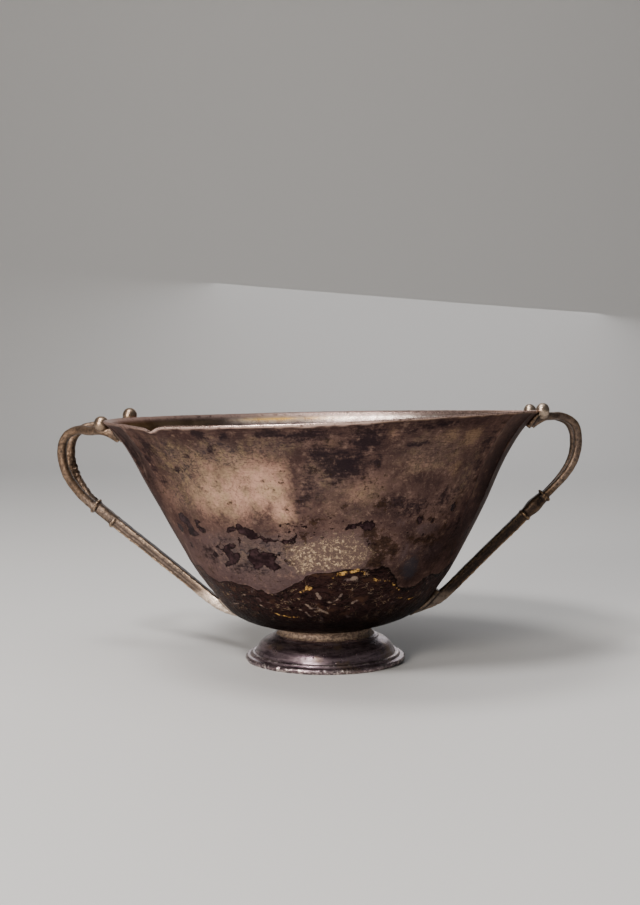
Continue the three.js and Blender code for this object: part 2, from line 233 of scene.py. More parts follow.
# crisp purple-brown blotches, each outlined by azimuth and height
blotch_outlines = [
    [(212.8, 42.9), (216, 44), (217.8, 42.7), (219.2, 41.2), (218.5, 40.1), (219.2, 38.5), (221, 37.1),
     (220.3, 36.1), (217.2, 35.7), (214.5, 36.5), (214.5, 37.8), (216.5, 39.4), (214.2, 39.9), (212.5, 40.8)],
    [(208.5, 39.9), (211, 39.4), (211, 37.6), (208.8, 36.2), (207.2, 37.1), (207.5, 38.6)],
    [(222, 41.8), (224.8, 41.8), (225.2, 41.3), (223.2, 40.7), (223, 40.2), (223.8, 39.4), (225.8, 38.6),
     (225.8, 37.6), (224.2, 37), (222.2, 37.8), (222, 39), (221.5, 40.4)],
    [(239.5, 40.9), (241.5, 41.5), (243, 40.1), (246.5, 39.4), (247, 37.9), (249.5, 37), (252, 36), (249.8, 35.1),
     (247.2, 36.4), (244.3, 36), (242.5, 37.4), (240, 38.1), (240, 40)],
    [(236.4, 40), (238.4, 40.4), (239.8, 40), (240, 38.9), (238.2, 38.6), (237.2, 38.1), (235.8, 38.9)],
    [(249.4, 37), (252, 36.3), (254, 36.2), (258.5, 36.3), (260.6, 35.7), (259.8, 34.6), (256.2, 34.7), (254, 35.5),
     (251, 35.5)], [(236.2, 39.3), (237.2, 39), (236.5, 38), (235.8, 38.5)],
    [(239.5, 36.8), (240.5, 35.8), (239.5, 34.6), (239, 35.7)],
    [(227.2, 33.9), (229, 33.2), (229.8, 31.9), (232.2, 33.6), (234.8, 34.7), (236, 34.4), (238.5, 33.9),
     (238, 33.3), (235, 32.6), (233.8, 31.7), (235.3, 31), (237.2, 31.9), (237.8, 30.4), (235.5, 28.4), (235, 27.6),
     (231.5, 26.6), (228, 26.1), (227.5, 27.1), (229.5, 28), (231.5, 28.3), (231, 29.3), (230.5, 31), (228.8, 32),
     (227, 32.5)], [(225, 31), (226.2, 31), (226.8, 29.4), (224.5, 29), (223.2, 29.6)],
    [(241, 31.9), (244.5, 33), (247, 32.8), (246.2, 32), (249.8, 31.9), (251.8, 31.5), (254, 31.4), (253.8, 30.6),
     (251.8, 29.8), (251, 28.6), (252.5, 27.7), (253.8, 27.3), (252, 26.1), (250, 25.3), (248, 26.5), (246.5, 27.4),
     (245, 26.8), (244, 25.6), (242, 26), (242, 27.3), (240.5, 28.4), (240.5, 30.2), (241.8, 31.1)],
    [(254.7, 29.8), (257.3, 29.2), (258.8, 29.7), (259.5, 28.3), (258, 26.9), (257.3, 27.7), (255.8, 28.5)],
    [(258.2, 35.8), (260.8, 35.5), (260.2, 34.4), (257.8, 34.7)],
    [(256.5, 42.5), (257.3, 41.8), (259.2, 41.6), (259, 41), (257, 41.2)],
    [(258.2, 39.5), (259, 39.8), (259.2, 38.4), (258.2, 38.1)], [(260.5, 38.6), (261.2, 38), (260.8, 37.3)],
    [(258.5, 36.5), (260.2, 36.9), (260.5, 36.2), (258.8, 36)],
    [(276.2, 39.3), (277.5, 40.3), (280, 41), (282.2, 41.4), (282.5, 40.8), (281.2, 39.6), (279, 39.1),
     (276.8, 38.7)], [(282.8, 41.3), (285.8, 41.5), (287.2, 39.8), (285.5, 38.5), (283.2, 38.6), (281.5, 39.2)],
    [(300.8, 41.1), (302.2, 41.8), (304.5, 40.8), (304.2, 39.7), (303.5, 39), (302.2, 40)],
    [(307.5, 40.2), (308.5, 40.6), (309.5, 39.4), (308.2, 38.8)],
    [(315.5, 43.7), (316.8, 45.5), (317.5, 43.9), (317.8, 42), (315.5, 42.4)],
    [(283.5, 35.6), (284.8, 35.2), (286.8, 33.3), (286, 32.9), (284.5, 34.3)],
    [(262.2, 43.6), (263.4, 43.9), (263, 42.8)], [(255.2, 41.4), (256.4, 41), (255.8, 39.9)],
    [(262.6, 40.4), (264.4, 40.8), (265, 39.8), (263.4, 39.4)], [(266.2, 38.8), (267.4, 38.4), (266.6, 37.6)],
    [(254.6, 38.2), (255.4, 37), (254.4, 36.6)], [(259.4, 33), (260.4, 32.4), (259.6, 31.6)],
    [(262.4, 35.4), (264.6, 35.2), (263.6, 34.2)], [(268.6, 36.6), (270, 36.8), (269.6, 35.9)],
    [(255.8, 29.8), (257.4, 29.2), (257.2, 27.8), (255.6, 27.2), (256.4, 28.4)],
    [(270.8, 39.9), (273.6, 39.8), (272.6, 39.2)], [(210.4, 33.4), (211.6, 33), (211, 31.2), (210, 31.8)],
    [(222.8, 34.6), (223.8, 34.2), (223, 33.4)], [(298.5, 37.6), (300, 37.4), (299.4, 36.2)],
    [(305.6, 36), (307, 35.6), (306.2, 34.8)],
]
# pale lines along the creases and the bent left edge: painted highlights
crease_highlights = [
    [(211.4, 71), (210, 69.4), (208, 66.8)], [(204.9, 62.6), (204.2, 61)], [(203.4, 59.4), (201, 55)],
    [(325.9, 66), (326.2, 64.6), (326.4, 62.4)], [(326, 57), (325.4, 54)], [(327.4, 49.6), (327.8, 46)],
    [(337.2, 63.5), (337.8, 60)], [(338.6, 54), (338.4, 50)], [(337, 43), (336.4, 41)],
    [(204.6, 32.4), (200.4, 25.4), (196.4, 19), (193.6, 15)],
]
random = np.random.default_rng(11)
for place in np.concatenate([np.arange(2, 200, 9.5), np.arange(330, 358, 8)]):  # the same kind on the far side
    middle = np.array([place + random.uniform(-3, 3), random.uniform(27, 45)])
    long, narrow, lean = random.uniform(1.2, 4.4), random.uniform(0.7, 2), random.uniform(0, math.pi)
    corners = []
    for turn in np.arange(0, 2 * math.pi, math.pi / 5):
        reach = random.uniform(0.65, 1.25)
        x, y = long * reach * math.cos(turn), narrow * reach * math.sin(turn)
        corners.append(middle + (x * math.cos(lean) - y * math.sin(lean), x * math.sin(lean) + y * math.cos(lean)))
    blotch_outlines.append(corners)
blotch = np.full(len(grid_place), -9.0)
for outline in blotch_outlines:
    blotch = np.maximum(blotch, inside_by(grid_place, on_wall(outline)))


def soft_patches(patches):
    """A field that is strongest in the middle of each patch: azimuth, height, half width, half height, strength."""
    field = np.zeros(len(grid_place))
    for at, height, across, up, strength in patches:
        aside = (grid_azimuth - at + 180) % 360 - 180
        field = np.maximum(field, strength * np.exp(-((aside / across) ** 2) - ((grid_height - height) / up) ** 2))
    return field


def soft_outline(outline, low, soft):
    """A field that rises from an outline inwards over this many mm."""
    return ease(inside_by(grid_place, on_wall(outline)), low, low + soft)


# blue-grey smoky tarnish, thickest in one cloud below the lip that stops short at its right edge
smoke = soft_patches([
    (276, 60, 8, 6.5, 0.95), (281.5, 67, 5.5, 5, 0.9), (281, 71, 5, 2, 0.6), (270, 63, 5, 4, 0.75),
    (285.3, 60.2, 1.8, 2.6, 1.0), (239.3, 69.6, 2.4, 2.2, 1.0), (240.6, 65.6, 1.7, 2.6, 0.75),
    (246.2, 69.2, 2, 2, 0.85), (258, 69.8, 4.5, 1.6, 0.95), (266, 69, 9, 2, 0.8), (231.3, 63.1, 1.9, 1.2, 0.85),
    (225, 58.1, 3, 1.5, 0.8), (214.2, 53.7, 3, 2.2, 0.7), (217, 66, 4, 4.5, 0.75), (212.5, 60, 3, 6, 0.7),
    (265.5, 54, 3.6, 8, 0.62), (263.5, 48, 2.6, 4, 0.55), (270, 50, 6, 5, 0.35), (295, 64.8, 8, 1, 0.75),
    (291, 69, 3, 1.6, 0.7), (300, 70.4, 10, 1.3, 0.8), (320.8, 63.5, 3.4, 5, 0.7), (307, 62, 5, 1.2, 0.5),
    (291, 47, 7, 3.6, 0.62), (299, 44.5, 8, 3, 0.6), (311, 47, 6, 5, 0.55), (322, 56, 3, 8, 0.6),
    (312, 33.5, 7, 2, 0.5), (238, 26.5, 11, 3.2, 0.5), (221, 30, 6, 5, 0.5), (233, 36, 3, 2, 0.45),
    (249, 35.5, 5, 1.8, 0.45), (213, 38, 4, 5, 0.5), (324, 36, 6, 8, 0.5), (201, 62, 6, 14, 0.6),
    (190, 50, 9, 12, 0.5), (165, 64, 14, 7, 0.7), (140, 52, 9, 9, 0.5), (118, 66, 12, 5, 0.8), (96, 50, 9, 10, 0.6),
    (70, 62, 9, 9, 0.9), (47, 55, 8, 8, 0.5), (25, 66, 10, 6, 0.8), (8, 48, 8, 10, 0.6),
])
smoke = np.where((grid_azimuth > 250) & (grid_azimuth < 290),
                 smoke * (1 - 0.75 * ease(grid_azimuth, 285.2, 286.8) * ease(grid_height, 57, 60)), smoke)

# the paler, warmer silver at the left of the front, which ends in an edge at its right, and patches like it
# elsewhere; at the front left it is partly a painted glow of light
glow = 0.85 * soft_outline([
    (226, 62), (238, 64), (246, 65), (253, 66.5), (258, 64), (263, 61), (263, 52), (261, 45), (254, 42), (243, 41),
    (233, 40.5), (224, 42.5), (214, 44), (210, 50), (216, 58),
], -5, 16)
glow = np.maximum(glow, soft_patches([
    (253, 54, 8, 7, 0.95), (257, 46, 4.5, 6, 0.9), (246, 57, 7, 4, 0.8), (240, 46, 7, 4, 0.75),
    (229, 52, 6, 5, 0.45)]))
glow *= 1 - 0.5 * ease(-grid_azimuth, -240, -222)
glow *= 1 - 0.85 * ease(grid_azimuth, 261, 262.8) * (grid_azimuth < 300)
glow = np.maximum(glow, soft_patches([
    (281, 50, 7, 5, 0.4), (272, 46.5, 5, 3.4, 0.3), (297, 58, 8, 4.4, 0.45), (288, 67.5, 2, 4, 0.4),
    (256, 68, 3, 2, 0.2), (60, 46, 14, 9, 0.8), (130, 60, 13, 9, 0.8), (165, 44, 12, 8, 0.6)]))

# where the silver is mottled with fine dark squiggles and yellowish haze
squiggle = soft_patches([
    (226, 61, 11, 10, 1.0), (243, 64, 12, 6, 0.9), (221, 50, 7, 9, 0.7), (256, 66, 12, 5, 0.6),
    (240, 54, 12, 7, 0.4), (270, 55, 10, 12, 0.45), (300, 62, 16, 9, 0.5), (318, 55, 8, 14, 0.5),
    (280, 46, 10, 8, 0.4), (244, 31, 24, 8, 0.8), (60, 58, 22, 12, 0.8), (150, 56, 22, 12, 0.8),
])

# small dark flecks between the blotches
pepper = soft_patches([
    (262, 39.5, 9, 3.4, 1.0), (276, 42.5, 7, 3, 0.9), (299, 43, 10, 5, 0.9), (230, 33, 10, 5, 1.0),
    (317, 45, 6, 9, 0.8), (246, 24, 12, 3, 0.7), (292, 36, 7, 6, 0.8), (308, 34, 8, 4, 0.7), (216, 33, 6, 7, 0.9),
    (246, 33, 8, 4, 0.8), (232, 45, 14, 3, 0.35), (30, 37, 30, 5, 0.9), (110, 37, 36, 5, 0.9),
    (175, 36, 20, 5, 0.9),
])

# gold-brown tinged places; the last patch, on the inner lip, turns part of the painted inner highlight into a painted
# gold glint
golden_places = soft_patches([
    (312.4, 66, 4, 3.4, 1.0), (304.6, 66.6, 3, 2.8, 0.85), (300.2, 66.6, 1.8, 1.8, 0.6),
    (311.5, 56.1, 2.6, 3.6, 0.75), (308, 61, 3, 3, 0.45), (232, 62, 7, 4, 0.6), (222, 62.5, 4, 3, 0.6),
    (227, 66, 5, 2, 0.5), (287.6, 68.5, 1.4, 2.6, 0.55), (272, 66.5, 3, 2.4, 0.5), (328, 62, 2.4, 6, 0.35),
    (327, 49, 1.6, 7, 0.5), (281, 50, 4, 3, 0.35), (40, 62, 6, 4, 0.7), (110, 55, 7, 5, 0.7), (180, 58, 6, 6, 0.6),
    (104, 71.1, 14, 1.2, 1.5),
])

# smoother grey-mauve silver low on the wall
mauve = np.maximum(soft_patches([
    (307.2, 37.3, 6.5, 2.0, 1.0), (315.5, 29, 7, 4, 1.0), (300.5, 30, 2.4, 5, 0.8), (305, 30.5, 5, 2.4, 0.7),
    (296, 40, 4, 1.8, 0.6),
]), 0.75 * ease(grid_height, 43, 34) * (1 - ease(grid_azimuth, 284, 290)))

# soft umber-brown stains
umber = soft_patches([
    (289.8, 33.1, 4.6, 4.4, 1.0), (285.4, 37.2, 3.4, 2.6, 0.9), (289, 28, 4.6, 3, 1.0), (295, 31, 3, 3.4, 0.85),
    (309.2, 33.4, 8, 1.5, 1.0), (301.5, 34.6, 2.4, 1.8, 0.8), (288.2, 46.5, 3.4, 2.2, 0.75),
    (302.5, 40.7, 1.5, 1.5, 1.2), (308.6, 40, 1.9, 1.1, 1.1), (317.2, 43.7, 1, 2.4, 1.1),
    (318.8, 48.1, 1.1, 0.9, 1.0), (325, 46.7, 1.1, 2.2, 0.9), (266.8, 42, 3.4, 1.9, 0.8), (263, 36.9, 2.4, 2, 0.8),
    (276.5, 46.5, 1.6, 1.3, 0.8), (240.3, 48.1, 1.3, 1.2, 0.6), (240.2, 52, 1, 0.8, 0.4), (316, 38, 2, 4, 0.8),
    (332, 28, 7, 6, 0.8), (345, 30, 7, 7, 0.7), (324, 52.4, 1, 1.4, 0.8), (15, 32, 8, 4, 0.8), (60, 32, 7, 4, 0.8),
    (112, 34, 9, 4, 0.8), (160, 30, 8, 4, 0.8), (280, 23.5, 8, 1, 0.3),
])

# deeper tarnish over wide areas, and painted shade: darker towards the right, the lower wall and the bent edge at the
# left
deep = soft_patches([
    (318, 30, 16, 12, 0.8), (338, 52, 12, 34, 0.95), (203, 60, 5, 16, 0.8), (196, 44, 5, 26, 0.75),
    (328, 34, 12, 14, 0.85), (350, 48, 12, 40, 0.85), (306, 22, 14, 7, 0.75), (206, 66, 5, 12, 0.8),
    (190, 42, 14, 30, 0.5), (288, 46, 9, 8, 0.3), (218, 62, 7, 10, 0.3), (300, 70.6, 26, 2.2, 0.5),
    (170, 66, 16, 9, 0.7), (140, 40, 16, 12, 0.6), (105, 58, 12, 12, 0.5), (78, 66, 14, 8, 0.75),
    (52, 36, 16, 12, 0.6), (20, 58, 14, 14, 0.6), (2, 36, 12, 14, 0.7),
])

# thin runs of gold-coloured metal that show at the crust's edge and in it, each with its half width in mm
gilt_runs = [
    (0.34, [(272.8, 23.3), (275, 23.7), (277, 24.1)]), (0.42, [(278, 24.2), (280.2, 24.6), (283, 25)]),
    (0.3, [(283.6, 25.1), (284.8, 24.8), (285.6, 23.8)]), (0.16, [(275, 24.6), (280, 25.4), (283, 25.5)]),
    (0.55, [(289.5, 21.7), (291.2, 21.4)]), (0.3, [(292, 21.3), (294, 20.9), (295.4, 20.9)]),
    (0.22, [(296.4, 20.6), (298, 20.3), (299.4, 19.6)]), (0.3, [(300.2, 19.3), (301.5, 18.6)]),
    (0.22, [(302.4, 18), (303.2, 17.3), (304.6, 16.8)]), (0.6, [(260.9, 19.1), (262.5, 20)]),
    (0.3, [(262.8, 19), (264, 19.9)]), (0.35, [(258.8, 18.2), (260.2, 18.6)]), (0.3, [(242.8, 10), (246.2, 9.4)]),
    (0.3, [(247.4, 9.2), (250.5, 8.8), (255.5, 9)]), (0.22, [(305.8, 14), (308.2, 13.6), (310, 14)]),
    (0.22, [(312.8, 12.9), (315.2, 12.8), (317.8, 13)]), (0.3, [(50, 17), (56, 18.5), (63, 18)]),
    (0.35, [(120, 14), (127, 13), (131, 15)]), (0.3, [(172, 17), (180, 19)]),
]
gilt = np.full(len(grid_place), -9.0)
for half, run in gilt_runs:
    gilt = np.maximum(gilt, 0.8 * half - off_line(grid_place, on_wall(run)))

# pale flecks of bare silver left in the crust
fleck_runs = [
    (0.6, [(278.6, 22.1), (280.5, 22.2)]), (0.5, [(281.4, 21.9), (283, 21.7)]), (0.4, [(280.8, 23), (282.2, 23.1)]),
    (0.65, [(266, 17.4), (267.4, 16)]), (0.55, [(276.8, 17.1), (276, 16.2)]),
    (0.25, [(276, 16.2), (275, 15.2), (273, 14.4), (270.2, 14.5)]),
    (0.4, [(262, 12.3), (265.5, 12.5), (268.5, 11.2), (271.2, 10)]), (0.3, [(260.5, 13.8), (263, 12.1)]),
    (0.32, [(264, 11.2), (268.5, 10.9)]), (0.4, [(259.8, 10.8), (261.8, 9.1)]),
    (0.16, [(288, 17.4), (290, 16.6), (291.4, 17.2)]), (0.2, [(250, 14.5), (252.6, 15.2), (254, 14.4)]),
    (0.22, [(271, 20.4), (272.6, 20.9)]), (0.3, [(293.6, 15), (295, 14.6)]), (0.18, [(281, 18.4), (283.6, 18.8)]),
    (0.26, [(256.4, 12), (258.4, 11.4)]), (0.2, [(228, 16), (231, 16.4)]), (0.3, [(236.7, 12.9), (240.3, 11.6)]),
    (0.25, [(216, 12), (221.2, 12.3)]), (0.4, [(282, 13.7), (284, 14.4)]), (0.5, [(70, 14), (74, 15)]),
    (0.6, [(100, 18), (104, 16)]), (0.5, [(150, 12), (156, 13)]),
]
fleck = np.full(len(grid_place), -9.0)
for half, run in fleck_runs:
    fleck = np.maximum(fleck, half - off_line(grid_place, on_wall(run)))

speckle = inside_by(grid_place, on_wall([
    (257, 28.5), (260, 33), (266, 35.5), (273, 36.8), (279.5, 36.4), (284, 33.5), (286.8, 30.5), (284, 27.8),
    (277, 26.6), (266, 25.8), (259, 26),
]))
blue_patch = inside_by(grid_place, on_wall([
    (301, 25.5), (303.5, 28.5), (306.8, 28.6), (309, 26.6), (310.5, 23.5), (308.5, 20.4), (304.8, 20.6),
    (301.8, 22.6),
]))

# the bent shape: waves of the lip, the dent and its sharp tear, flattened facets, hammering, and corroded places
up_share = np.clip(grid_height / bowl_height, 0, 1)
lip_rise = sum(
    high * np.cos(np.radians(count * (grid_azimuth - peak)))
    for count, high, peak in ((1, 0.24, 170), (2, 0.54, 148), (3, 0.26, 71)))
lip_rise += 0.25 * np.exp(-(((grid_azimuth - 250) / 18) ** 2))
dent_at = 225
from_dent = np.abs(grid_azimuth - dent_at)
dent = 0.75 * ease(-from_dent, -3, 0)
dent += np.clip(1 - np.where(grid_azimuth < dent_at, from_dent / 13, from_dent / 5), 0, 1) ** 1.2
shift_up = lip_rise * up_share**3 - dent * up_share**12
shift_out = 0.10 * ripple(true_points, 26, 1) + 0.045 * ripple(true_points, 9, 2)
shift_out -= 0.16 * ease(grid_height, 60, 67) * (1 - ease(grid_height, bowl_height - 1.7, bowl_height - 1.1))
shift_out -= 0.25 * np.clip(1 - from_dent / 5, 0, 1) * up_share**10
for first, second, depth, low in ((324.6, 337.5, 0.55, 30), (198, 210.5, 0.5, 40)):  # two long flattened facets
    share = np.clip((grid_azimuth - first) / (second - first), 0, 1)
    shift_out -= depth * 4 * share * (1 - share) * ease(grid_height, low, low + 22)
    for edge in (first, second):
        off_edge = grid_azimuth - edge
        fold = np.where(is_outer, 0.2 * np.exp(-((off_edge / 0.8) ** 2)), 0.1 * np.exp(-((off_edge / 2.6) ** 2)))
        shift_out += fold * ease(grid_height, low, low + 22)
shift_out += 0.8 * np.exp(-(((grid_azimuth - 190) / 20) ** 2) - ((grid_height - 54) / 9) ** 2)
shift_out *= 1 - ease(grid_height, bowl_height - 1.2, bowl_height)
eaten = ease(crust, -0.25, 0.25)
shift_out += is_outer * eaten * (0.1 + 0.09 * ripple(true_points, 3.2, 5) + 0.06 * ripple(true_points, 1.9, 6))
shift_out -= is_outer * 0.07 * ease(blotch, -0.2, 0.3)
shift_out += is_outer * 0.05 * ease(fleck, -0.3, 0.3)
lip_share = ease(grid_height, bowl_height - 1.1, bowl_height - 0.2)
shift_up -= lip_share * (0.05 + 0.025 * ripple(true_points, 2.6, 8) + 0.04 * ripple(true_points, 7, 9))
for nick in (215, 251, 259, 264.2, 292, 311, 340, 12, 55, 83, 121, 150, 181):
    shift_up -= lip_share * 0.12 * np.exp(-(((grid_azimuth - nick) / 0.5) ** 2))
shift_out = np.where(grid_height < 1.6, np.minimum(shift_out, 0), shift_out)
radius = np.minimum(grid_radius + shift_out, rim_radius)
bowl_points = np.concatenate([[(0, 0, 0)], upright(radius, grid_azimuth, grid_height + shift_up), [(0, 0, wall)]])

right_front = ease(grid_azimuth, 280, 286) * (1 - ease(grid_azimuth, 335, 355))
round_right = (grid_azimuth + 180) % 360 - 180
bare_from = bowl_height - 0.7 + 0.35 * right_front
bare_and_highlight = is_outer * ease(grid_height + 0.15 * ripple(true_points, 4, 12), bare_from - 0.12, bare_from + 0.12)
bare_and_highlight = np.maximum(bare_and_highlight, np.where(~is_outer & ~is_inner, 1.0, 0))
bare_and_highlight *= (1 - 0.65 * ease(grid_azimuth, 98, 112) * (1 - ease(grid_azimuth, 219, 226))) * (1 - 0.2 * right_front)
# a thin dark line just under the lip band: painted shade under the lip
lip_shade_line = is_outer * np.exp(-(((grid_height - bare_from + 0.3) / 0.22) ** 2)) * (1 - 0.4 * right_front)
highlight_breakup = is_outer * np.clip(0.5 + 0.7 * ripple(true_points, 3, 15), 0, 1)
# painted highlights along the creases, broken up by noise
for crease_highlight in crease_highlights:
    share = 0.55 if crease_highlight[0][0] > 270 else 0.26
    bare_and_highlight = np.maximum(bare_and_highlight, share * highlight_breakup * ease(-off_line(grid_place, on_wall(crease_highlight)), -0.75, 0))
fields = {name: np.where(is_outer, depth, -9) for name, depth in (
    ("crust", crust), ("blotch", blotch), ("gilt", gilt), ("fleck", fleck), ("speckle", speckle),
    ("blue", blue_patch))}
fields.update({
    "smoke": smoke, "glow": glow, "deep": deep, "golden": golden_places, "mauve": mauve,
    "umber": np.where(is_outer, umber, 0), "squiggle": squiggle, "pepper": pepper, "bare_and_highlight": bare_and_highlight,
    "dull": ease(grid_azimuth, 113, 134) * (1 - ease(grid_azimuth, 310, 356)) * ease(grid_height, 6, 46),
    "inside": is_inner * 1.0, "height": grid_height, "painted lip shade": lip_shade_line,
    "edge gold": is_outer * right_front * (1 - ease(grid_height, 72.1, 72.5)),
    # a band on the far inner wall just under the lip: painted highlight
    "painted_inner_highlight": is_inner * ease(grid_height + 0.35 * ripple(true_points, 9, 14), 69.6, 70.3)
    * (0.45 * ease(round_right, -40, 0) + 0.55 * ease(round_right, 20, 62)) * (1 - ease(round_right, 119, 125)),
})
fields = {name: np.concatenate([values[:1], values, values[-1:]]) for name, values in fields.items()}
bowl = new_piece("silver_bowl", bowl_points, ring_faces(len(profile), bowl_turns), lay_bowl, fields)


class Value:
    """A number or colour on its way through a node material. It adds and multiplies like a number."""

    def __init__(self, finish, socket):
        self.finish, self.socket = finish, socket

    def __add__(self, other):
        return self.finish.math("ADD", self, other)

    def __sub__(self, other):
        return self.finish.math("SUBTRACT", self, other)

    def __mul__(self, other):
        return self.finish.math("MULTIPLY", self, other)


class Finish:
    """A node material: each call adds one step and gives back the value that comes out of it."""

    def __init__(self, name):
        self.material = bpy.data.materials.new(name)
        self.material.use_nodes = True
        self.tree = self.material.node_tree
        self.place = self.step(  # object coordinates in mm, level with the lip
            "Mapping", "Vector", ("Vector", self.step("TexCoord", "Object")),
            ("Rotation", (0, math.radians(bowl_lean), 0)), ("Scale", (1000, 1000, 1000)))

    def step(self, kind, result, *inputs, **settings):
        """The named result of a new node, with its inputs given by name or number."""
        made = self.tree.nodes.new("ShaderNode" + kind)
        for name, value in settings.items():
            setattr(made, name, value)
        self.feed(made, inputs)
        return Value(self, made.outputs[result])

    def feed(self, node, inputs):
        for name, value in inputs:
            if isinstance(value, Value):
                self.tree.links.new(value.socket, node.inputs[name])
            else:
                node.inputs[name].default_value = value

    def field(self, name):
        return self.step("Attribute", "Fac", attribute_name=name)

    def noise(self, size, detail=4.0, rough=0.55, stretch=None, twist=0.0):
        """Cloudy noise from 0 to 1 whose lumps are about this size in mm."""
        place = self.step("Mapping", "Vector", ("Vector", self.place), ("Scale", stretch)) if stretch else self.place
        return self.step(
            "TexNoise", "Fac", ("Vector", place), ("Scale", 1 / size), ("Detail", detail), ("Roughness", rough),
            ("Distortion", twist))

    def cells(self, size, feature="F1", warp=0.0):
        """How far it is to the middle or the edge of cells of about this size in mm, bent by noise."""
        place = self.place
        if warp:
            lumps = self.step("TexNoise", "Color", ("Vector", place), ("Scale", 1 / (size * 0.9)), ("Detail", 2.0))
            place = self.step(
                "VectorMath", "Vector", (0, lumps), (1, (warp, warp, warp)), (2, place), operation="MULTIPLY_ADD")
        return self.step("TexVoronoi", "Distance", ("Vector", place), ("Scale", 1 / size), feature=feature)

    def math(self, kind, a, b=0.0):
        return self.step("Math", "Value", (0, a), (1, b), operation=kind)

    def span(self, value, low, high, out_low=0.0, out_high=1.0):
        """A soft step from one level to another while the value goes from low to high."""
        return self.step(
            "MapRange", "Result", ("Value", value), ("From Min", low), ("From Max", high), ("To Min", out_low),
            ("To Max", out_high), interpolation_type="SMOOTHSTEP")

    def level(self, share, a, b):
        return self.step("Mix", 0, (0, share), (2, a), (3, b))

    def blend(self, share, a, b):
        """Colour a where the share is 0 and b where it is 1. A colour is given in sRGB from 0 to 255."""
        return self.step("Mix", 2, (0, share), (6, self.colour(a)), (7, self.colour(b)), data_type="RGBA")

    def cover(self, colour, *coats):
        """A colour under further coats, each given by the share that it covers and its own colour."""
        for share, tone in coats:
            colour = self.blend(share, colour, tone)
        return colour

    @staticmethod
    def colour(value):
        if isinstance(value, Value):
            return value
        shares = [part / 255 for part in value]
        return [part / 12.92 if part <= 0.04045 else ((part + 0.055) / 1.055) ** 2.4 for part in shares] + [1]

    def surface(self, colour, metal, rough, height, depth, **constants):
        """The finished material. Its relief is this many mm deep where the height goes from 0 to 1."""
        bump = self.step("Bump", "Normal", ("Height", height), ("Distance", depth / 1000), ("Strength", 1))
        self.feed(self.tree.nodes["Principled BSDF"], [
            ("Base Color", colour), ("Metallic", metal), ("Roughness", rough), ("Normal", bump),
            *((name.replace("_", " "), value) for name, value in constants.items())])
        return self.material


finish = Finish("tarnished_raised_silver")
cloud, mottle, grain = finish.noise(12, 9.0, 0.66), finish.noise(2.6, 7.0, 0.68), finish.noise(0.5, 3.0, 0.6)
fringe, speck = finish.noise(1.3, 5.0, 0.6), finish.noise(0.9, 4.0, 0.7)
streaks = finish.noise(8, 7.0, 0.68, stretch=(1, 1, 10))
scratches = finish.noise(5, 4.0, 0.7, stretch=(1, 1, 30))
wrinkles = finish.cells(4.6, "DISTANCE_TO_EDGE", warp=5.0)
ragged = (fringe - 0.5) * 2.6


def broken(field, coarse, fine, low, high):
    """The share of a named field, its edge broken up by clouds and mottling."""
    level = finish.field(field) + (cloud - 0.5) * coarse + (mottle - 0.5) * fine + (speck - 0.5) * (fine * 0.8)
    return finish.span(level, low, high)


# bare and lightly tarnished silver
colour = finish.blend(finish.span(cloud, 0.34, 0.66), (66, 50, 48), (108, 84, 77))
colour = finish.blend(broken("mauve", 1.4, 1.2, 0.25, 0.8) * 0.75, colour, (96, 79, 79))
# the paler silver, brightened at the front left as a painted glow of light
glow_share = broken("glow", 1.3, 1.1, 0.05, 1.0) * finish.span(finish.noise(5, 6.0, 0.7), 0.3, 0.62, 0.66, 1.0)
glow_colour = finish.blend(finish.span(finish.noise(7, 6.0, 0.7), 0.42, 0.6), (204, 160, 138), (186, 156, 126))
colour = finish.cover(
    colour,
    (glow_share, glow_colour),
    (broken("golden", 1.2, 1.6, 0.2, 0.9) * 0.6, (154, 125, 98)),
    (finish.span(mottle, 0.5, 0.72) * 0.6, (60, 47, 48)),
    (finish.span(mottle, 0.46, 0.3) * 0.3, (176, 146, 128)))
squiggles = finish.noise(1.5, 9.0, 0.8, stretch=(1, 1, 1.5), twist=0.9)
squiggle_share = broken("squiggle", 1.2, 0.6, 0.1, 0.9)
haze = squiggle_share * finish.span(finish.noise(3.4, 8.0, 0.76), 0.48, 0.6)
haze = haze * finish.span(finish.field("height"), 36.0, 46.0, 0.2, 1.0)
colour = finish.cover(
    colour,
    (squiggle_share * 0.3, (110, 98, 88)),
    (haze * 0.6, (146, 126, 96)),
    (finish.span(squiggles, 0.44, 0.32) * 0.45, (178, 148, 126)),
    (finish.span(squiggles, 0.52, 0.62) * 0.4, (48, 38, 40)),
    (squiggle_share * finish.span(squiggles, 0.5, 0.56, 0.0, 0.8), (48, 45, 51)))
scratched = finish.span(scratches, 0.5, 0.66) * finish.span(finish.field("height"), 52.0, 70.0, 0.1, 0.85)
colour = finish.blend(scratched, colour, (50, 39, 40))

smoke_level = finish.field("smoke") + (cloud - 0.5) * 1.6 + (streaks - 0.5) * 1.2
smoke_level += (mottle - 0.5) * 1.8 + (speck - 0.5) * 1.2
smoke_share = finish.span(smoke_level, 0.25, 0.85)
colour = finish.blend(smoke_share * 0.88, colour, (36, 29, 34))
# deeper tarnish, partly painted shade that darkens the right side, the lower wall and the bent left edge
deep_tarnish_and_shade_share = broken("deep", 1.2, 1.0, 0.0, 1.05)
colour = finish.blend(deep_tarnish_and_shade_share * 0.9, colour, (26, 17, 17))
umber_share = broken("umber", 0.9, 2.4, 0.3, 0.75)
umber_colour = finish.blend(finish.span(speck, 0.4, 0.64), (24, 16, 14), (64, 47, 36))
colour = finish.blend(umber_share * 0.85, colour, umber_colour)

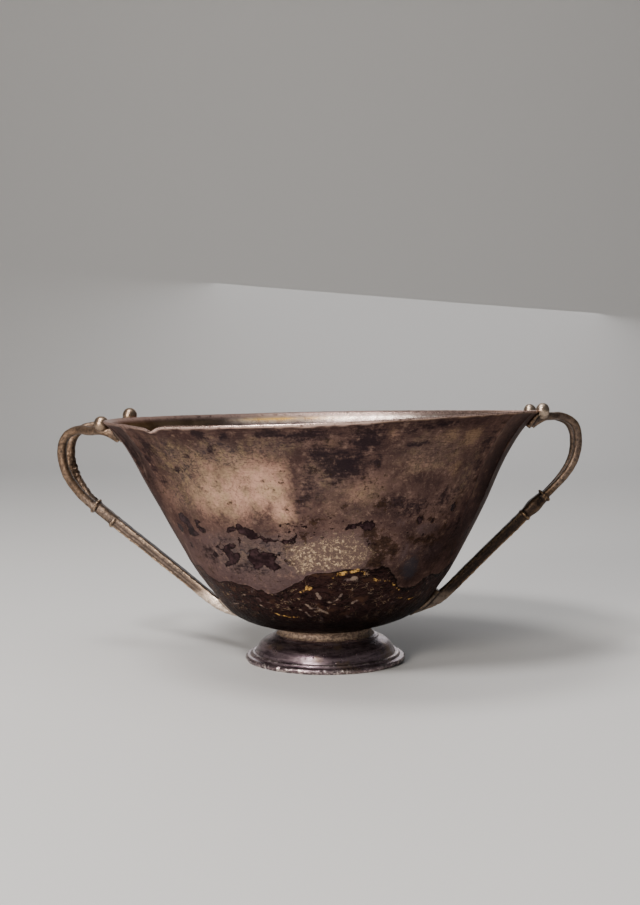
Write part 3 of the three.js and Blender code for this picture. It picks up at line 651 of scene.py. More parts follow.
hairline = finish.span(wrinkles, 0.0, 0.05, 1.0, 0.0) * finish.span(finish.noise(6, 4.0), 0.5, 0.62)
colour = finish.cover(
    colour,
    (hairline * 0.35, (38, 29, 29)),
    (finish.span(grain, 0.6, 0.74) * 0.5, (44, 33, 30)))
spot = finish.span(finish.cells(3.1), 0.0, 0.11, 1.0, 0.0)
colour = finish.blend(spot * 0.6, colour, (36, 25, 24))
glint = finish.span(finish.cells(2.3), 0.0, 0.045, 1.0, 0.0)
glint = glint * finish.span(finish.noise(7, 3.0), 0.5, 0.6)
colour = finish.blend(glint * 0.8, colour, (226, 200, 176))

# crisp purple-brown blotches
blotch_level = finish.field("blotch") + ragged
blotch_share = finish.span(blotch_level, -0.1, 0.14)
pepper_level = finish.noise(1.5, 6.0, 0.72, stretch=(1, 1, 1.4)) + finish.field("pepper") * 0.1
pepper_share = finish.span(pepper_level, 0.655, 0.685) * finish.span(finish.field("pepper"), 0.1, 0.4)
colour = finish.blend(pepper_share * 0.85, colour, (34, 23, 25))
blotch_colour = finish.blend(finish.span(mottle, 0.42, 0.66), (30, 20, 22), (58, 42, 44))
blotch_colour = finish.blend(finish.span(blotch_level, 0.1, 0.6), (20, 12, 13), blotch_colour)
colour = finish.blend(blotch_share, colour, blotch_colour)

pale_speck = finish.span(finish.noise(1.1, 8.0, 0.86, twist=0.5), 0.51, 0.6)
speckle_level = finish.field("speckle") + (cloud - 0.5) * 9.0 + (mottle - 0.5) * 9.0
speckle_zone = finish.span(speckle_level, -1.5, 2.0)
colour = finish.blend(speckle_zone * 0.6, colour, (112, 92, 82))
speckle_share = speckle_zone * pale_speck
colour = finish.blend(speckle_share * 0.9, colour, (228, 200, 162))
blue_level = finish.field("blue") + (mottle + ragged - 0.5) * 2.0
colour = finish.blend(finish.span(blue_level, -0.8, 1.6) * 0.65, colour, (54, 53, 59))

# the brown crust of the lower wall, with a dark rim line, curled flakes of metal, and painted shade that turns the
# underside near-black
crust_level = finish.field("crust") + ragged * 0.35
crust_share = finish.span(crust_level, -0.12, 0.12)
swirl = finish.noise(2.4, 8.0, 0.74, stretch=(1, 1, 1.8), twist=1.8)
crust_colour = finish.blend(finish.span(swirl, 0.38, 0.6), (11, 6, 7), (50, 33, 31))
crust_colour = finish.cover(
    crust_colour,
    (finish.span(finish.noise(4.0, 5.0), 0.55, 0.68), (60, 41, 32)),
    (finish.span(finish.noise(2.2, 5.0), 0.62, 0.66) * 0.8, (78, 64, 62)))
curl = finish.noise(5.5, 2.0, 0.5, stretch=(1, 1, 1.7), twist=2.2)
curl = finish.span(finish.math("ABSOLUTE", curl - 0.5), 0.006, 0.016, 1.0, 0.0)
curl = curl * finish.span(finish.noise(3.4, 3.0), 0.52, 0.6)
crust_colour = finish.blend(curl * 0.8, crust_colour, (146, 122, 98))
fleck_share = finish.span(finish.field("fleck") + ragged * 0.55, -0.12, 0.2)
fleck_colour = finish.blend(finish.span(mottle, 0.4, 0.6), (90, 76, 74), (136, 118, 104))
crust_colour = finish.cover(
    crust_colour,
    (fleck_share * 0.85, fleck_colour),
    (glint * 0.9, (214, 176, 118)))
# painted shade: near-black towards the bottom of the bowl, over the crust's own colour
underside_shade = finish.span(finish.field("height"), 5.0, 14.0, 1.0, 0.0)
crust_colour = finish.blend(underside_shade * 0.85, crust_colour, (5, 3, 3))
rim_line = finish.span(crust_level, -0.25, 0.0) * finish.span(crust_level, 0.1, 0.5, 1.0, 0.0)
crust_colour = finish.blend(rim_line * 0.9, crust_colour, (8, 5, 4))
colour = finish.blend(crust_share, colour, crust_colour)

gilt_share = finish.span(finish.field("gilt") + ragged * 0.75, -0.14, 0.16)
gilt_share = gilt_share * finish.span(finish.noise(0.9, 4.0, 0.7), 0.4, 0.52)
# gold-coloured runs, then the painted shade line under the lip
colour = finish.cover(
    colour,
    (gilt_share, finish.blend(finish.span(speck, 0.4, 0.6), (150, 104, 44), (236, 190, 112))),
    (finish.field("painted lip shade") * 0.7, (34, 25, 26)))
# bare worn silver at the lip, and painted highlights along the creases
bare_and_highlight_share = finish.field("bare_and_highlight") * finish.span(finish.noise(1.6, 5.0, 0.65), 0.3, 0.5)
bare_and_highlight_colour = finish.blend(finish.field("edge gold"), (228, 196, 182), (158, 130, 108))
colour = finish.blend(bare_and_highlight_share * 0.92, colour, bare_and_highlight_colour)
# inside: a lit copy of the silver with a painted gold glint, shown as a painted highlight band on the far inner wall
# over a darker shaded copy, with dull brown tarnish over much of it
inside = finish.field("inside")
inner_colour = finish.blend(finish.span(mottle, 0.4, 0.6), (176, 156, 146), (226, 208, 194))
inner_colour = finish.blend(finish.field("golden") * finish.field("painted_inner_highlight"), inner_colour, (240, 184, 88))
streaked_cloud = streaks * 0.4 + cloud * 0.6
inner_shaded_copy = finish.blend(finish.span(streaked_cloud, 0.38, 0.62), (64, 53, 55), (108, 92, 88))
inner_colour = finish.blend(finish.field("painted_inner_highlight"), inner_shaded_copy, inner_colour)
dull = inside * finish.field("dull")
inner_colour = finish.blend(
    dull, inner_colour, finish.blend(finish.span(streaked_cloud, 0.4, 0.6), (84, 70, 56), (116, 98, 80)))
colour = finish.blend(inside, colour, inner_colour)

metal = finish.level(finish.span(crust_share + blotch_share, 0.0, 1.0), 0.6, 0.15)
metal = finish.level(finish.span(gilt_share + bare_and_highlight_share + inside, 0.0, 1.0), metal, 1.0)
rough = finish.level(smoke_share, 0.42, 0.5)
rough = finish.level(crust_share, rough, finish.span(swirl, 0.3, 0.7, 0.3, 0.55))
rough = finish.level(bare_and_highlight_share * 0.9, rough, 0.22)
rough = finish.level(inside, rough, finish.level(dull, 0.28, 0.5))
rough += (grain - 0.5) * 0.2

relief = grain * 0.3 + scratches * 0.5 + mottle * 0.7 + crust_share * (swirl * 3.2 + curl)
relief -= (hairline * 0.4 + spot) * 0.5 + blotch_share * 0.6
bowl.data.materials.append(finish.surface(
    colour, metal, rough, relief, 0.09, IOR=1.15, Specular_IOR_Level=0.3, Specular_Tint=(0.4, 0.33, 0.3, 1)))
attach(bowl, "root")
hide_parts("bowl")

# Foot: a turned ring moulding, hollow beneath, of the same silver. A worn bright edge, a polished dark flare and
# a matt, granular collar that the bowl is soldered to. Its edge is chipped and a little out of round.
foot_turns, plate, flare_top, collar_wall, foot_radius = 400, 1.5, 8.4, 14.5, 27.5
foot_lines = (
    (16, [(27, 0), (27.42, 0.1), (27.72, 0.42), (27.84, 0.9), (27.7, 1.42), (27.15, 1.78)]),
    (5, [(26.9, 1.8), (26.4, 1.82), (26, 1.9)]), (10, [(25.85, 2.2), (25.6, 2.62), (25, 2.8), (24.65, 2.62)]),
    (32, [(24.45, 2.7), (24.15, 3.2), (23.6, 4.3), (22.95, 5.4), (21.8, 6.55), (20.1, 7.5), (18.7, 8.05)]),
    (8, [(18.4, 8.3), (18.1, 8.6), (17.6, 8.8), (17.2, 8.95)]),
    (12, [(16.95, 9.1), (16.4, 9.5), (16.1, 10.1), (16.0, 10.7), (16.15, 11.1)]),
    (6, [(16.35, 11.3), (16.5, 11.5), (16.4, 11.72), (16.0, 11.85)]),
)
hollow_lines = (
    (6, [(collar_wall, 11.7), (collar_wall, 9.8), (collar_wall, flare_top - 0.4)]),
    (16, [(collar_wall + 0.4, flare_top - 0.7), (17.7, 6.7), (20.6, 5.1), (22.5, 2.7), (24.5, plate)]),
    (4, [(24.8, 0.9), (24.9, 0.3), (25.2, 0)]),
)
foot_outside, foot_hollow = (
    np.concatenate([smooth_line(line, count) for count, line in lines]) for lines in (foot_lines, hollow_lines))
foot_profile = np.concatenate([foot_outside, foot_hollow])
foot_rows = len(foot_profile)
foot_azimuth = np.tile(np.arange(foot_turns) * 360 / foot_turns, foot_rows)
foot_radii = np.repeat(foot_profile[:, 0], foot_turns)
foot_heights = np.repeat(foot_profile[:, 1], foot_turns)
foot_is_outer = np.repeat(np.arange(foot_rows) < len(foot_outside), foot_turns)
true_foot = upright(foot_radii, foot_azimuth, foot_heights)
edge = ease(foot_radii, foot_radius - 0.9, foot_radius) * ease(foot_heights, 2.3, 1.2)
worn = edge * (0.1 + 0.1 * ripple(true_foot, 6, 21) + 0.09 * ripple(true_foot, 2, 22))
for chip, deep_in, wide in (
    (222, 0.3, 1.6), (236, 0.45, 1.1), (251, 0.2, 1.5), (268, 0.22, 0.9), (281, 0.3, 0.8), (297, 0.25, 1.6),
    (318, 0.4, 1.2), (20, 0.4, 2), (77, 0.35, 1.2), (128, 0.5, 1.8), (170, 0.3, 1.4),
):
    worn += edge * deep_in * np.exp(-(((foot_azimuth - chip) / wide) ** 2))
foot_shift = -worn + foot_is_outer * (0.05 * ripple(true_foot, 12, 23) + 0.025 * ripple(true_foot, 3, 24))
foot_shift = np.where(foot_heights > 9, foot_shift + foot_is_outer * 0.06 * ripple(true_foot, 1.6, 25), foot_shift)
lifted = foot_heights + edge * 0.12 * ripple(true_foot, 5, 26) * (foot_heights > 1)
foot_points = upright(np.minimum(foot_radii + foot_shift, foot_radius + 0.35), foot_azimuth, lifted)
foot_faces = []
for row in range(foot_rows):
    a, b = row * foot_turns, (row + 1) % foot_rows * foot_turns
    foot_faces += [(a + i, a + (i + 1) % foot_turns, b + (i + 1) % foot_turns, b + i) for i in range(foot_turns)]
lay_foot = Matrix.Translation((foot_axis, 0, 0)) @ Matrix.Scale(0.001, 4)
# the foot's edge is worn bright; the bright ring on the bead above the plate is a painted highlight
foot = new_piece("silver_foot", foot_points, foot_faces, lay_foot, {
    "collar": ease(foot_heights, 8.8, 9.3) * foot_is_outer,
    "wear_and_bead_highlight": np.maximum(edge, 0.8 * ease(foot_radii, 24.3, 24.9) * ease(foot_heights, 2.2, 2.6) * foot_is_outer),
    "hidden": 1 - foot_is_outer * 1.0,
})
finish = Finish("polished_foot_silver")
mottle, grain = finish.noise(2.6, 5.0, 0.6), finish.noise(0.5, 3.0)
streaks = finish.noise(9, 6.0, 0.66, stretch=(1, 1, 9))
colour = finish.blend(finish.span(streaks, 0.34, 0.62), (80, 64, 71), (150, 130, 134))
colour = finish.blend(finish.span(mottle, 0.52, 0.7) * 0.6, colour, (66, 52, 56))
tan = finish.span(finish.noise(10, 4.0), 0.56, 0.66) * finish.span(mottle, 0.36, 0.5)
colour = finish.blend(tan * 0.5, colour, (150, 126, 100))
collar_share = finish.span(finish.field("collar") + (mottle - 0.5) * 1.4, 0.35, 0.6)
collar_colour = finish.blend(finish.span(finish.noise(0.9, 5.0, 0.7), 0.4, 0.62), (92, 76, 66), (160, 138, 118))
colour = finish.blend(collar_share, colour, collar_colour)
# worn bright edge, and a painted highlight on the bead ring
wear_and_highlight_share = finish.field("wear_and_bead_highlight") * finish.span(mottle, 0.32, 0.56)
worn_and_highlight_colour = finish.blend(finish.span(finish.noise(1.2, 4.0, 0.7), 0.5, 0.6), (92, 78, 80), (226, 212, 204))
colour = finish.blend(wear_and_highlight_share * 0.75, colour, worn_and_highlight_colour)
pits = finish.span(finish.noise(0.8, 4.0, 0.65), 0.6, 0.7)
colour = finish.blend(pits * 0.7, colour, (44, 34, 34))
rough = finish.level(collar_share, 0.3, 0.62)
rough += (mottle - 0.5) * 0.25
relief = mottle * 0.7 - pits * 0.8 + grain * collar_share * 1.6
foot.data.materials.append(finish.surface(colour, finish.level(collar_share, 0.88, 0.5), rough, relief, 0.07))
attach(foot, "root")
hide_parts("foot")

# Handles: two solid castings of one design, soldered on. A pointed leaf lies on the wall, a square strap rises from
# it to a sleeve between two rings, and two rods side by side make the loop, spread under the lip and end in balls
# that sit over plates laid on the wall. The left one is bent wider and its far rod is corroded and cracked.
shared = {
    "ball_spread": 13.3, "collar_height": 36.4, "strap_width": 3.8, "strap_thickness": 3.9, "strap_foot": 3.5,
    "bend_out": 3.7, "leaf_width": 9.4, "ring_bulge": 0.42, "ring_length": 1.2, "slit": 0.25, "loop_spread": 3.85,
    "arm_spread": 5.4, "tongue_width": 5.2, "tongue_drop": 5.2, "tongue_stand": 1.5,
}
right_form = dict(
    shared, name="right_handle", azimuth=0, bend_height=13.2, leaf_tip=4.1, leaf_top=12.2, reach=13.6, crown=7.1,
    crown_drop=2.1, loop_drop=9.7, collar_out=16.7, collar_length=9.6, collar_tilt=43, rod=2.7, sleeve=4.2, swell=0.5,
    ball=2.35, ball_stretch=1.12, ball_out=1.2, ball_rise=-0.1, roll=1.6, foot_aside=-4.5, ring_off=(0.1, 0.15),
    ring_beads=0.4, ring_wear=0.12, leaf_shine=0.15, corroded=0)
left_form = dict(
    shared, name="left_handle", azimuth=166.5, bend_height=10.6, leaf_tip=3.0, leaf_top=10.4, reach=21.2, crown=13.6,
    crown_drop=2.3, loop_drop=10.4, collar_out=24.8, collar_length=8.8, collar_tilt=39, rod=3.1, sleeve=4.4, swell=0,
    ball=2.7, ball_stretch=1, ball_out=2.6, ball_rise=0.7, roll=4.8, foot_aside=4.5, ring_off=(0.35, 0.6),
    ring_beads=0.42, ring_wear=0.5, leaf_shine=1, corroded=1)


def wall_radius(height):
    return np.interp(height, outer_wall[:, 1], outer_wall[:, 0])


def off_wall(height, out):
    """A point in the handle's middle plane, this far out from the wall and square to it."""
    run = np.array([wall_radius(height + 0.5) - wall_radius(height - 0.5), 1.0])
    run /= np.linalg.norm(run)
    return np.array([wall_radius(height) + out * run[1], height - out * run[0]])


def space(place, aside=0.0):
    return np.array([place[0], aside, place[1]])


class Casting:
    """The closed shapes that one casting is fused from."""

    def __init__(self):
        self.points, self.faces = [], []

    def take(self, points, faces):
        start = sum(len(part) for part in self.points)
        self.points.append(np.array(points, float))
        self.faces += [tuple(start + i for i in face) for face in faces]

    def rod(self, line, half_width, half_depth, squareness=2.0, sides=28):
        """A bar along a line. Its half sizes are functions of the share of its length."""
        line = np.array(line, float)
        count = len(line)
        share = np.linspace(0, 1, count)
        run = np.gradient(line, axis=0)
        run /= np.linalg.norm(run, axis=1)[:, None]
        across = np.array([0, 1, 0]) - run * run[:, 1:2]
        across /= np.linalg.norm(across, axis=1)[:, None]
        outward = np.cross(across, run)
        turn = np.arange(sides) * 2 * math.pi / sides
        wide = np.sign(np.cos(turn)) * np.abs(np.cos(turn)) ** (2 / squareness)
        deep = np.sign(np.sin(turn)) * np.abs(np.sin(turn)) ** (2 / squareness)
        w = np.array([half_width(s) for s in share])[:, None, None]
        d = np.array([half_depth(s) for s in share])[:, None, None]
        rings = line[:, None] + across[:, None] * wide[None, :, None] * w + outward[:, None] * deep[None, :, None] * d
        points = np.concatenate([line[:1], rings.reshape(-1, 3), line[-1:]])
        self.take(points, ring_faces(count + 2, sides))

    def ball(self, middle, sizes, turns=24, rows=16):
        tilt = np.linspace(0, math.pi, rows)
        profile = np.stack([np.sin(tilt), -np.cos(tilt)], -1)[1:-1]
        spin = np.arange(turns) * 2 * math.pi / turns
        ring = np.stack([
            profile[:, :1] * np.cos(spin), profile[:, :1] * np.sin(spin), np.repeat(profile[:, 1:], turns, 1)], -1)
        points = np.concatenate([[(0, 0, -1)], ring.reshape(-1, 3), [(0, 0, 1)]])
        self.take(points * sizes + middle, ring_faces(rows, turns))


def lerp(a, b, share):
    return a + (b - a) * share


def bead_tree():
    """Geometry Nodes that set small uneven beads along a line."""
    tree = bpy.data.node_groups.new("beads along a line", "GeometryNodeTree")
    for name, kind in (
        ("Line", "Geometry"), ("Radius", "Float"), ("Gap", "Float"), ("Unevenness", "Float"), ("Seed", "Int"),
        ("Silver", "Material"),
    ):
        tree.interface.new_socket(name, in_out="INPUT", socket_type="NodeSocket" + kind)
    tree.interface.new_socket("Beads", in_out="OUTPUT", socket_type="NodeSocketGeometry")
    kinds = (
        "NodeGroupInput", "GeometryNodeMeshToCurve", "GeometryNodeResampleCurve", "GeometryNodeMeshIcoSphere",
        "ShaderNodeMath", "ShaderNodeMath", "ShaderNodeMath", "FunctionNodeRandomValue",
        "GeometryNodeInstanceOnPoints", "GeometryNodeRealizeInstances", "GeometryNodeSetMaterial", "NodeGroupOutput")
    given, curve, spaced, bead, least, most, spread, size, set_out, real, dress, out = map(tree.nodes.new, kinds)
    spaced.mode = "LENGTH"
    spread.operation, least.operation, most.operation = "MULTIPLY", "SUBTRACT", "ADD"
    bead.inputs["Radius"].default_value, bead.inputs["Subdivisions"].default_value = 1, 2
    for start, end in (
        (given.outputs["Line"], curve.inputs["Mesh"]), (curve.outputs["Curve"], spaced.inputs["Curve"]),
        (given.outputs["Gap"], spaced.inputs["Length"]), (spaced.outputs["Curve"], set_out.inputs["Points"]),
        (bead.outputs["Mesh"], set_out.inputs["Instance"]), (given.outputs["Radius"], spread.inputs[0]),
        (given.outputs["Unevenness"], spread.inputs[1]), (given.outputs["Radius"], least.inputs[0]),
        (spread.outputs[0], least.inputs[1]), (given.outputs["Radius"], most.inputs[0]),
        (spread.outputs[0], most.inputs[1]), (least.outputs[0], size.inputs[2]), (most.outputs[0], size.inputs[3]),
        (given.outputs["Seed"], size.inputs["Seed"]), (size.outputs[1], set_out.inputs["Scale"]),
        (set_out.outputs["Instances"], real.inputs["Geometry"]),
        (real.outputs["Geometry"], dress.inputs["Geometry"]), (given.outputs["Silver"], dress.inputs["Material"]),
        (dress.outputs["Geometry"], out.inputs["Beads"]),
    ):
        tree.links.new(start, end)
    return tree


beads_along = bead_tree()


def bead_row(line, closed, material, **sizes):
    """Points and faces of a row of beads along a line, made by the Geometry Nodes tree above."""
    mesh = bpy.data.meshes.new("bead line")
    edges = [(i, i + 1) for i in range(len(line) - 1)] + ([(len(line) - 1, 0)] if closed else [])
    mesh.from_pydata(np.array(line, float).tolist(), edges, [])
    holder = set_down("bead line", mesh)
    beads = holder.modifiers.new("beads", "NODES")
    beads.node_group = beads_along
    for item in beads_along.interface.items_tree:
        if item.in_out == "INPUT" and item.name != "Line":
            beads[item.identifier] = material if item.name == "Silver" else sizes[item.name.lower()]
    made = bpy.data.meshes.new_from_object(holder.evaluated_get(bpy.context.evaluated_depsgraph_get()))
    points = [tuple(vertex.co) for vertex in made.vertices]
    faces = [tuple(face.vertices) for face in made.polygons]
    bpy.data.objects.remove(holder)
    return points, faces


def cast_handle(form, material):
    casting = Casting()
    tilt = math.radians(form["collar_tilt"])
    foot_of = np.array([wall_radius(form["collar_height"]) + form["collar_out"], form["collar_height"]])
    head_of = foot_of + np.array([math.cos(tilt), math.sin(tilt)]) * form["collar_length"]

    bend = off_wall(form["bend_height"], form["bend_out"])
    strap = smooth_line([
        space(off_wall(form["leaf_tip"], 0.3)),
        space(off_wall(lerp(form["leaf_tip"], form["bend_height"], 0.45), 0.47 * form["bend_out"])),
        space(bend), space(lerp(bend, foot_of, 0.3)), space(lerp(bend, foot_of, 0.75)), space(foot_of)], 120)
    root = 0.2

    def strap_half(s):
        if s < root:
            return lerp(0.45, form["strap_foot"] / 2, s / root)
        return lerp(form["strap_foot"], form["strap_width"], (s - root) / (1 - root)) / 2

    def strap_deep(s):
        return lerp(0.4, form["strap_thickness"] / 2, min(1, s / root))

    casting.rod(strap, strap_half, strap_deep, 4.5, 32)
    leaf = smooth_line([
        space(off_wall(lerp(form["leaf_tip"] - 0.4, form["leaf_top"], s), lerp(0.2, 0.7, s**1.5)))
        for s in (0, 0.35, 0.7, 1)], 40)
    casting.rod(
        leaf, lambda s: 0.5 * form["leaf_width"] * math.sin(math.pi * lerp(0.04, 0.8, s)) ** 1.2,
        lambda s: lerp(0.7, 1.2, s**1.5), 2.6, 32)
    run = np.gradient(strap, axis=0)
    run /= np.linalg.norm(run, axis=1)[:, None]
    below = np.stack([run[:, 2], run[:, 1], -run[:, 0]], -1)
    share = np.linspace(0, 1, len(strap))
    for way in (-1, 1):  # the serrated lower edges of the strap
        edge_line = strap + below * 0.86 * np.array([strap_deep(s) for s in share])[:, None]
        edge_line[:, 1] += way * 0.86 * np.array([strap_half(s) for s in share])
        casting.take(*bead_row(
            edge_line[16:116], False, material, radius=0.25, gap=0.7, unevenness=0.45, seed=5 + way))
    for part in casting.points:  # the lower end is bent a little towards the front of the cup
        share = np.clip((foot_of[0] - part[:, 0]) / (foot_of[0] - wall_radius(form["leaf_tip"])), 0, 1) ** 1.3
        part[:, 1] += form["foot_aside"] * share
        around = wall_radius(np.maximum(part[:, 2], 1))
        part[:, 0] += (np.sqrt(around**2 - part[:, 1] ** 2) - around) * share**2

    sleeve = np.linspace(space(foot_of), space(head_of), 24)
    casting.rod(
        sleeve, lambda s: form["sleeve"] / 2 + form["swell"] * math.sin(math.pi * s) ** 2,
        lambda s: 0.92 * (form["sleeve"] / 2 + form["swell"] * math.sin(math.pi * s) ** 2), 2.9, 32)
    bulge = form["sleeve"] / 2 + form["ring_bulge"]
    half = form["ring_length"] / form["collar_length"] / 2
    for end in (0, 1):
        off = np.array([math.sin(tilt), -math.cos(tilt)]) * form["ring_off"][end]
        ring = np.linspace(
            space(lerp(foot_of, head_of, end - half) + off), space(lerp(foot_of, head_of, end + half) + off), 9)
        casting.rod(
            ring, lambda s: bulge - 0.35 * abs(2 * s - 1) ** 3, lambda s: 0.95 * bulge - 0.35 * abs(2 * s - 1) ** 3,
            2.3, 40)

    if form["ring_beads"]:
        circle = np.arange(40) * math.pi / 20
        rise = space((-math.sin(tilt), math.cos(tilt)))
        around_head = np.outer(np.sin(circle), rise) + np.outer(np.cos(circle), (0, 1, 0))
        casting.take(*bead_row(
            space(head_of) + (bulge - 0.16) * around_head, True, material, radius=form["ring_beads"], gap=1.0,
            unevenness=form["ring_wear"], seed=3))
    outermost = np.array([rim_radius + form["reach"], bowl_height - form["loop_drop"]])
    crown = np.array([rim_radius + form["crown"], bowl_height - form["crown_drop"]])
    tongue_foot = bowl_height - form["tongue_drop"]
    rod_half = form["rod"] / 2
    start_aside, end_aside = rod_half + form["slit"] / 2, form["ball_spread"] - 0.9
    landing = off_wall(tongue_foot + 0.9, 1.05)
    ball_height = bowl_height + form["ball_rise"]
    ball_out = math.sqrt((rim_radius + form["ball_out"]) ** 2 - form["ball_spread"] ** 2)
    lean = math.tan(math.radians(form["roll"]))

    def between(a, b, s, t):
        return np.array([lerp(a[0], b[0], s), lerp(a[1], b[1], t)])

    for way in (-1, 1):
        start = len(casting.points)
        rod = smooth_line([
            space(lerp(foot_of, head_of, 0.9), way * (start_aside - 0.3)),
            space(lerp(foot_of, head_of, 1.4), way * start_aside),
            space(between(head_of, outermost, 0.84, 0.56), way * lerp(start_aside, form["loop_spread"], 0.7)),
            space(outermost, way * form["loop_spread"]),
            space(between(outermost, crown, 0.29, 0.71), way * lerp(form["loop_spread"], form["arm_spread"], 0.4)),
            space(crown, way * form["arm_spread"]),
            (lerp(crown[0], ball_out, 0.5), way * lerp(form["arm_spread"], end_aside, 0.55), crown[1]),
            (ball_out, way * end_aside, ball_height - form["ball"]),
            (math.sqrt(landing[0] ** 2 - end_aside**2), way * end_aside, landing[1])], 150)
        casting.rod(rod, lambda s: rod_half, lambda s: rod_half * 1.02, 2.5, 28)
        casting.ball(
            (ball_out, way * form["ball_spread"], ball_height),
            (form["ball"], form["ball"], form["ball"] * form["ball_stretch"]))
        stand, sunk = form["tongue_stand"], 0.4
        tongue = np.linspace(
            space(off_wall(tongue_foot, (stand - sunk) / 2)),
            space(off_wall(bowl_height - 1.2, (0.9 - sunk) / 2)), 24)
        casting.rod(tongue, lambda s: form["tongue_width"] / 2 * lerp(0.7, 1, min(1, 3 * s)),
                    lambda s: (lerp(stand, 0.9, s) + sunk) / 2, 3.5, 28)
        spin = way * math.asin(end_aside / wall_radius(tongue_foot))
        x, y = casting.points[-1][:, 0].copy(), casting.points[-1][:, 1].copy()
        casting.points[-1][:, 0] = x * math.cos(spin) - y * math.sin(spin)
        casting.points[-1][:, 1] = x * math.sin(spin) + y * math.cos(spin)
        for part, on_wall_too in zip(casting.points[start:], (True, False, True)):
            risen = part[:, 2] - lean * part[:, 1]
            if on_wall_too:  # the soldered ends follow the wall up or down
                out, under_it = np.hypot(part[:, 0], part[:, 1]), wall_radius(part[:, 2])
                moved = (wall_radius(risen) - under_it) * (1 - ease(out - under_it, 2, 9))
                part[:, :2] *= (1 + moved / out)[:, None]
            part[:, 2] = risen
    return casting


def fused(casting, step):
    """One closed skin around all the shapes of a casting, as points and faces."""
    mesh = bpy.data.meshes.new("casting")
    mesh.from_pydata(np.concatenate(casting.points).tolist(), [], casting.faces)
    rough_cast = set_down("casting", mesh)
    skin = rough_cast.modifiers.new("skin", "REMESH")
    skin.mode, skin.voxel_size = "VOXEL", step
    made = bpy.data.meshes.new_from_object(rough_cast.evaluated_get(bpy.context.evaluated_depsgraph_get()))
    points = np.zeros(len(made.vertices) * 3)
    made.vertices.foreach_get("co", points)
    edges = np.zeros(len(made.edges) * 2, int)
    made.edges.foreach_get("vertices", edges)
    faces = [tuple(face.vertices) for face in made.polygons]
    bpy.data.objects.remove(rough_cast)
    return points.reshape(-1, 3), edges.reshape(-1, 2), faces


def neighbour_mean(values, edges):
    total, count = np.zeros_like(values), np.zeros(len(values))
    np.add.at(total, edges[:, 0], values[edges[:, 1]])
    np.add.at(total, edges[:, 1], values[edges[:, 0]])
    np.add.at(count, edges.ravel(), 1)
    return total / (count[:, None] if values.ndim > 1 else count)


def point_normals(points, faces):
    quads = np.array([face if len(face) == 4 else (*face, face[-1]) for face in faces])
    flat = np.cross(points[quads[:, 2]] - points[quads[:, 0]], points[quads[:, 3]] - points[quads[:, 1]])
    normals = np.zeros_like(points)
    for corner in range(4):
        np.add.at(normals, quads[:, corner], flat)
    return normals / np.maximum(np.linalg.norm(normals, axis=1), 1e-9)[:, None]


def handle_finish(name, strap_tones, loop_tones, bright, shine):
    finish = Finish(name)
    mottle, grain = finish.noise(0.9, 6.0, 0.7), finish.noise(0.4, 3.0, 0.6)
    cloud = finish.noise(5, 5.0, 0.6)
    level = mottle * 0.6 + cloud * 0.4
    tones = [finish.blend(finish.span(level, 0.38, 0.62), *pair) for pair in (strap_tones, loop_tones)]
    colour = finish.blend(finish.field("loop"), *tones)
    # dark grain, pale specks, dark strap lines, and painted shade along the strap's upper edge
    colour = finish.cover(
        colour,
        (finish.span(grain, 0.56, 0.7) * 0.5, (46, 36, 31)),
        (finish.span(finish.noise(1.2, 5.0, 0.7), 0.6, 0.7) * 0.6, bright),
        (finish.field("lines") * finish.span(mottle, 0.3, 0.6, 0.2, 0.7), (40, 32, 28)),
        (finish.field("shaded_upper_edge") * 0.7, (30, 24, 22)))
    # worn convex edges, and the strap's lower edge lightened as a painted highlight
    worn_and_lit_edge_share = finish.math("MAXIMUM", finish.field("edge") * 0.8, finish.field("lower"))
    worn_and_lit_edge_share = worn_and_lit_edge_share * finish.span(mottle, 0.34, 0.58)
    colour = finish.blend(worn_and_lit_edge_share * 0.75, colour, bright)
    polished = finish.field("polish") * finish.span(mottle, 0.3, 0.5, 0.6, 1.0)
    # polished balls, the leaf lightened by polish and a painted highlight, and dark grooves
    colour = finish.cover(
        colour,
        (polished, shine),
        (finish.field("leaf") * finish.span(mottle, 0.36, 0.56, 0.3, 1.0), (214, 196, 180)),
        (finish.field("groove") * 0.85, (24, 18, 17)))
    rough = finish.level(worn_and_lit_edge_share, 0.46, 0.3)
    rough = finish.level(polished, rough, 0.3)
    rough += (grain - 0.5) * 0.25
    relief = grain * 0.7 + mottle
    return finish.surface(colour, finish.level(worn_and_lit_edge_share + polished, 0.7, 0.95), rough, relief, 0.08)


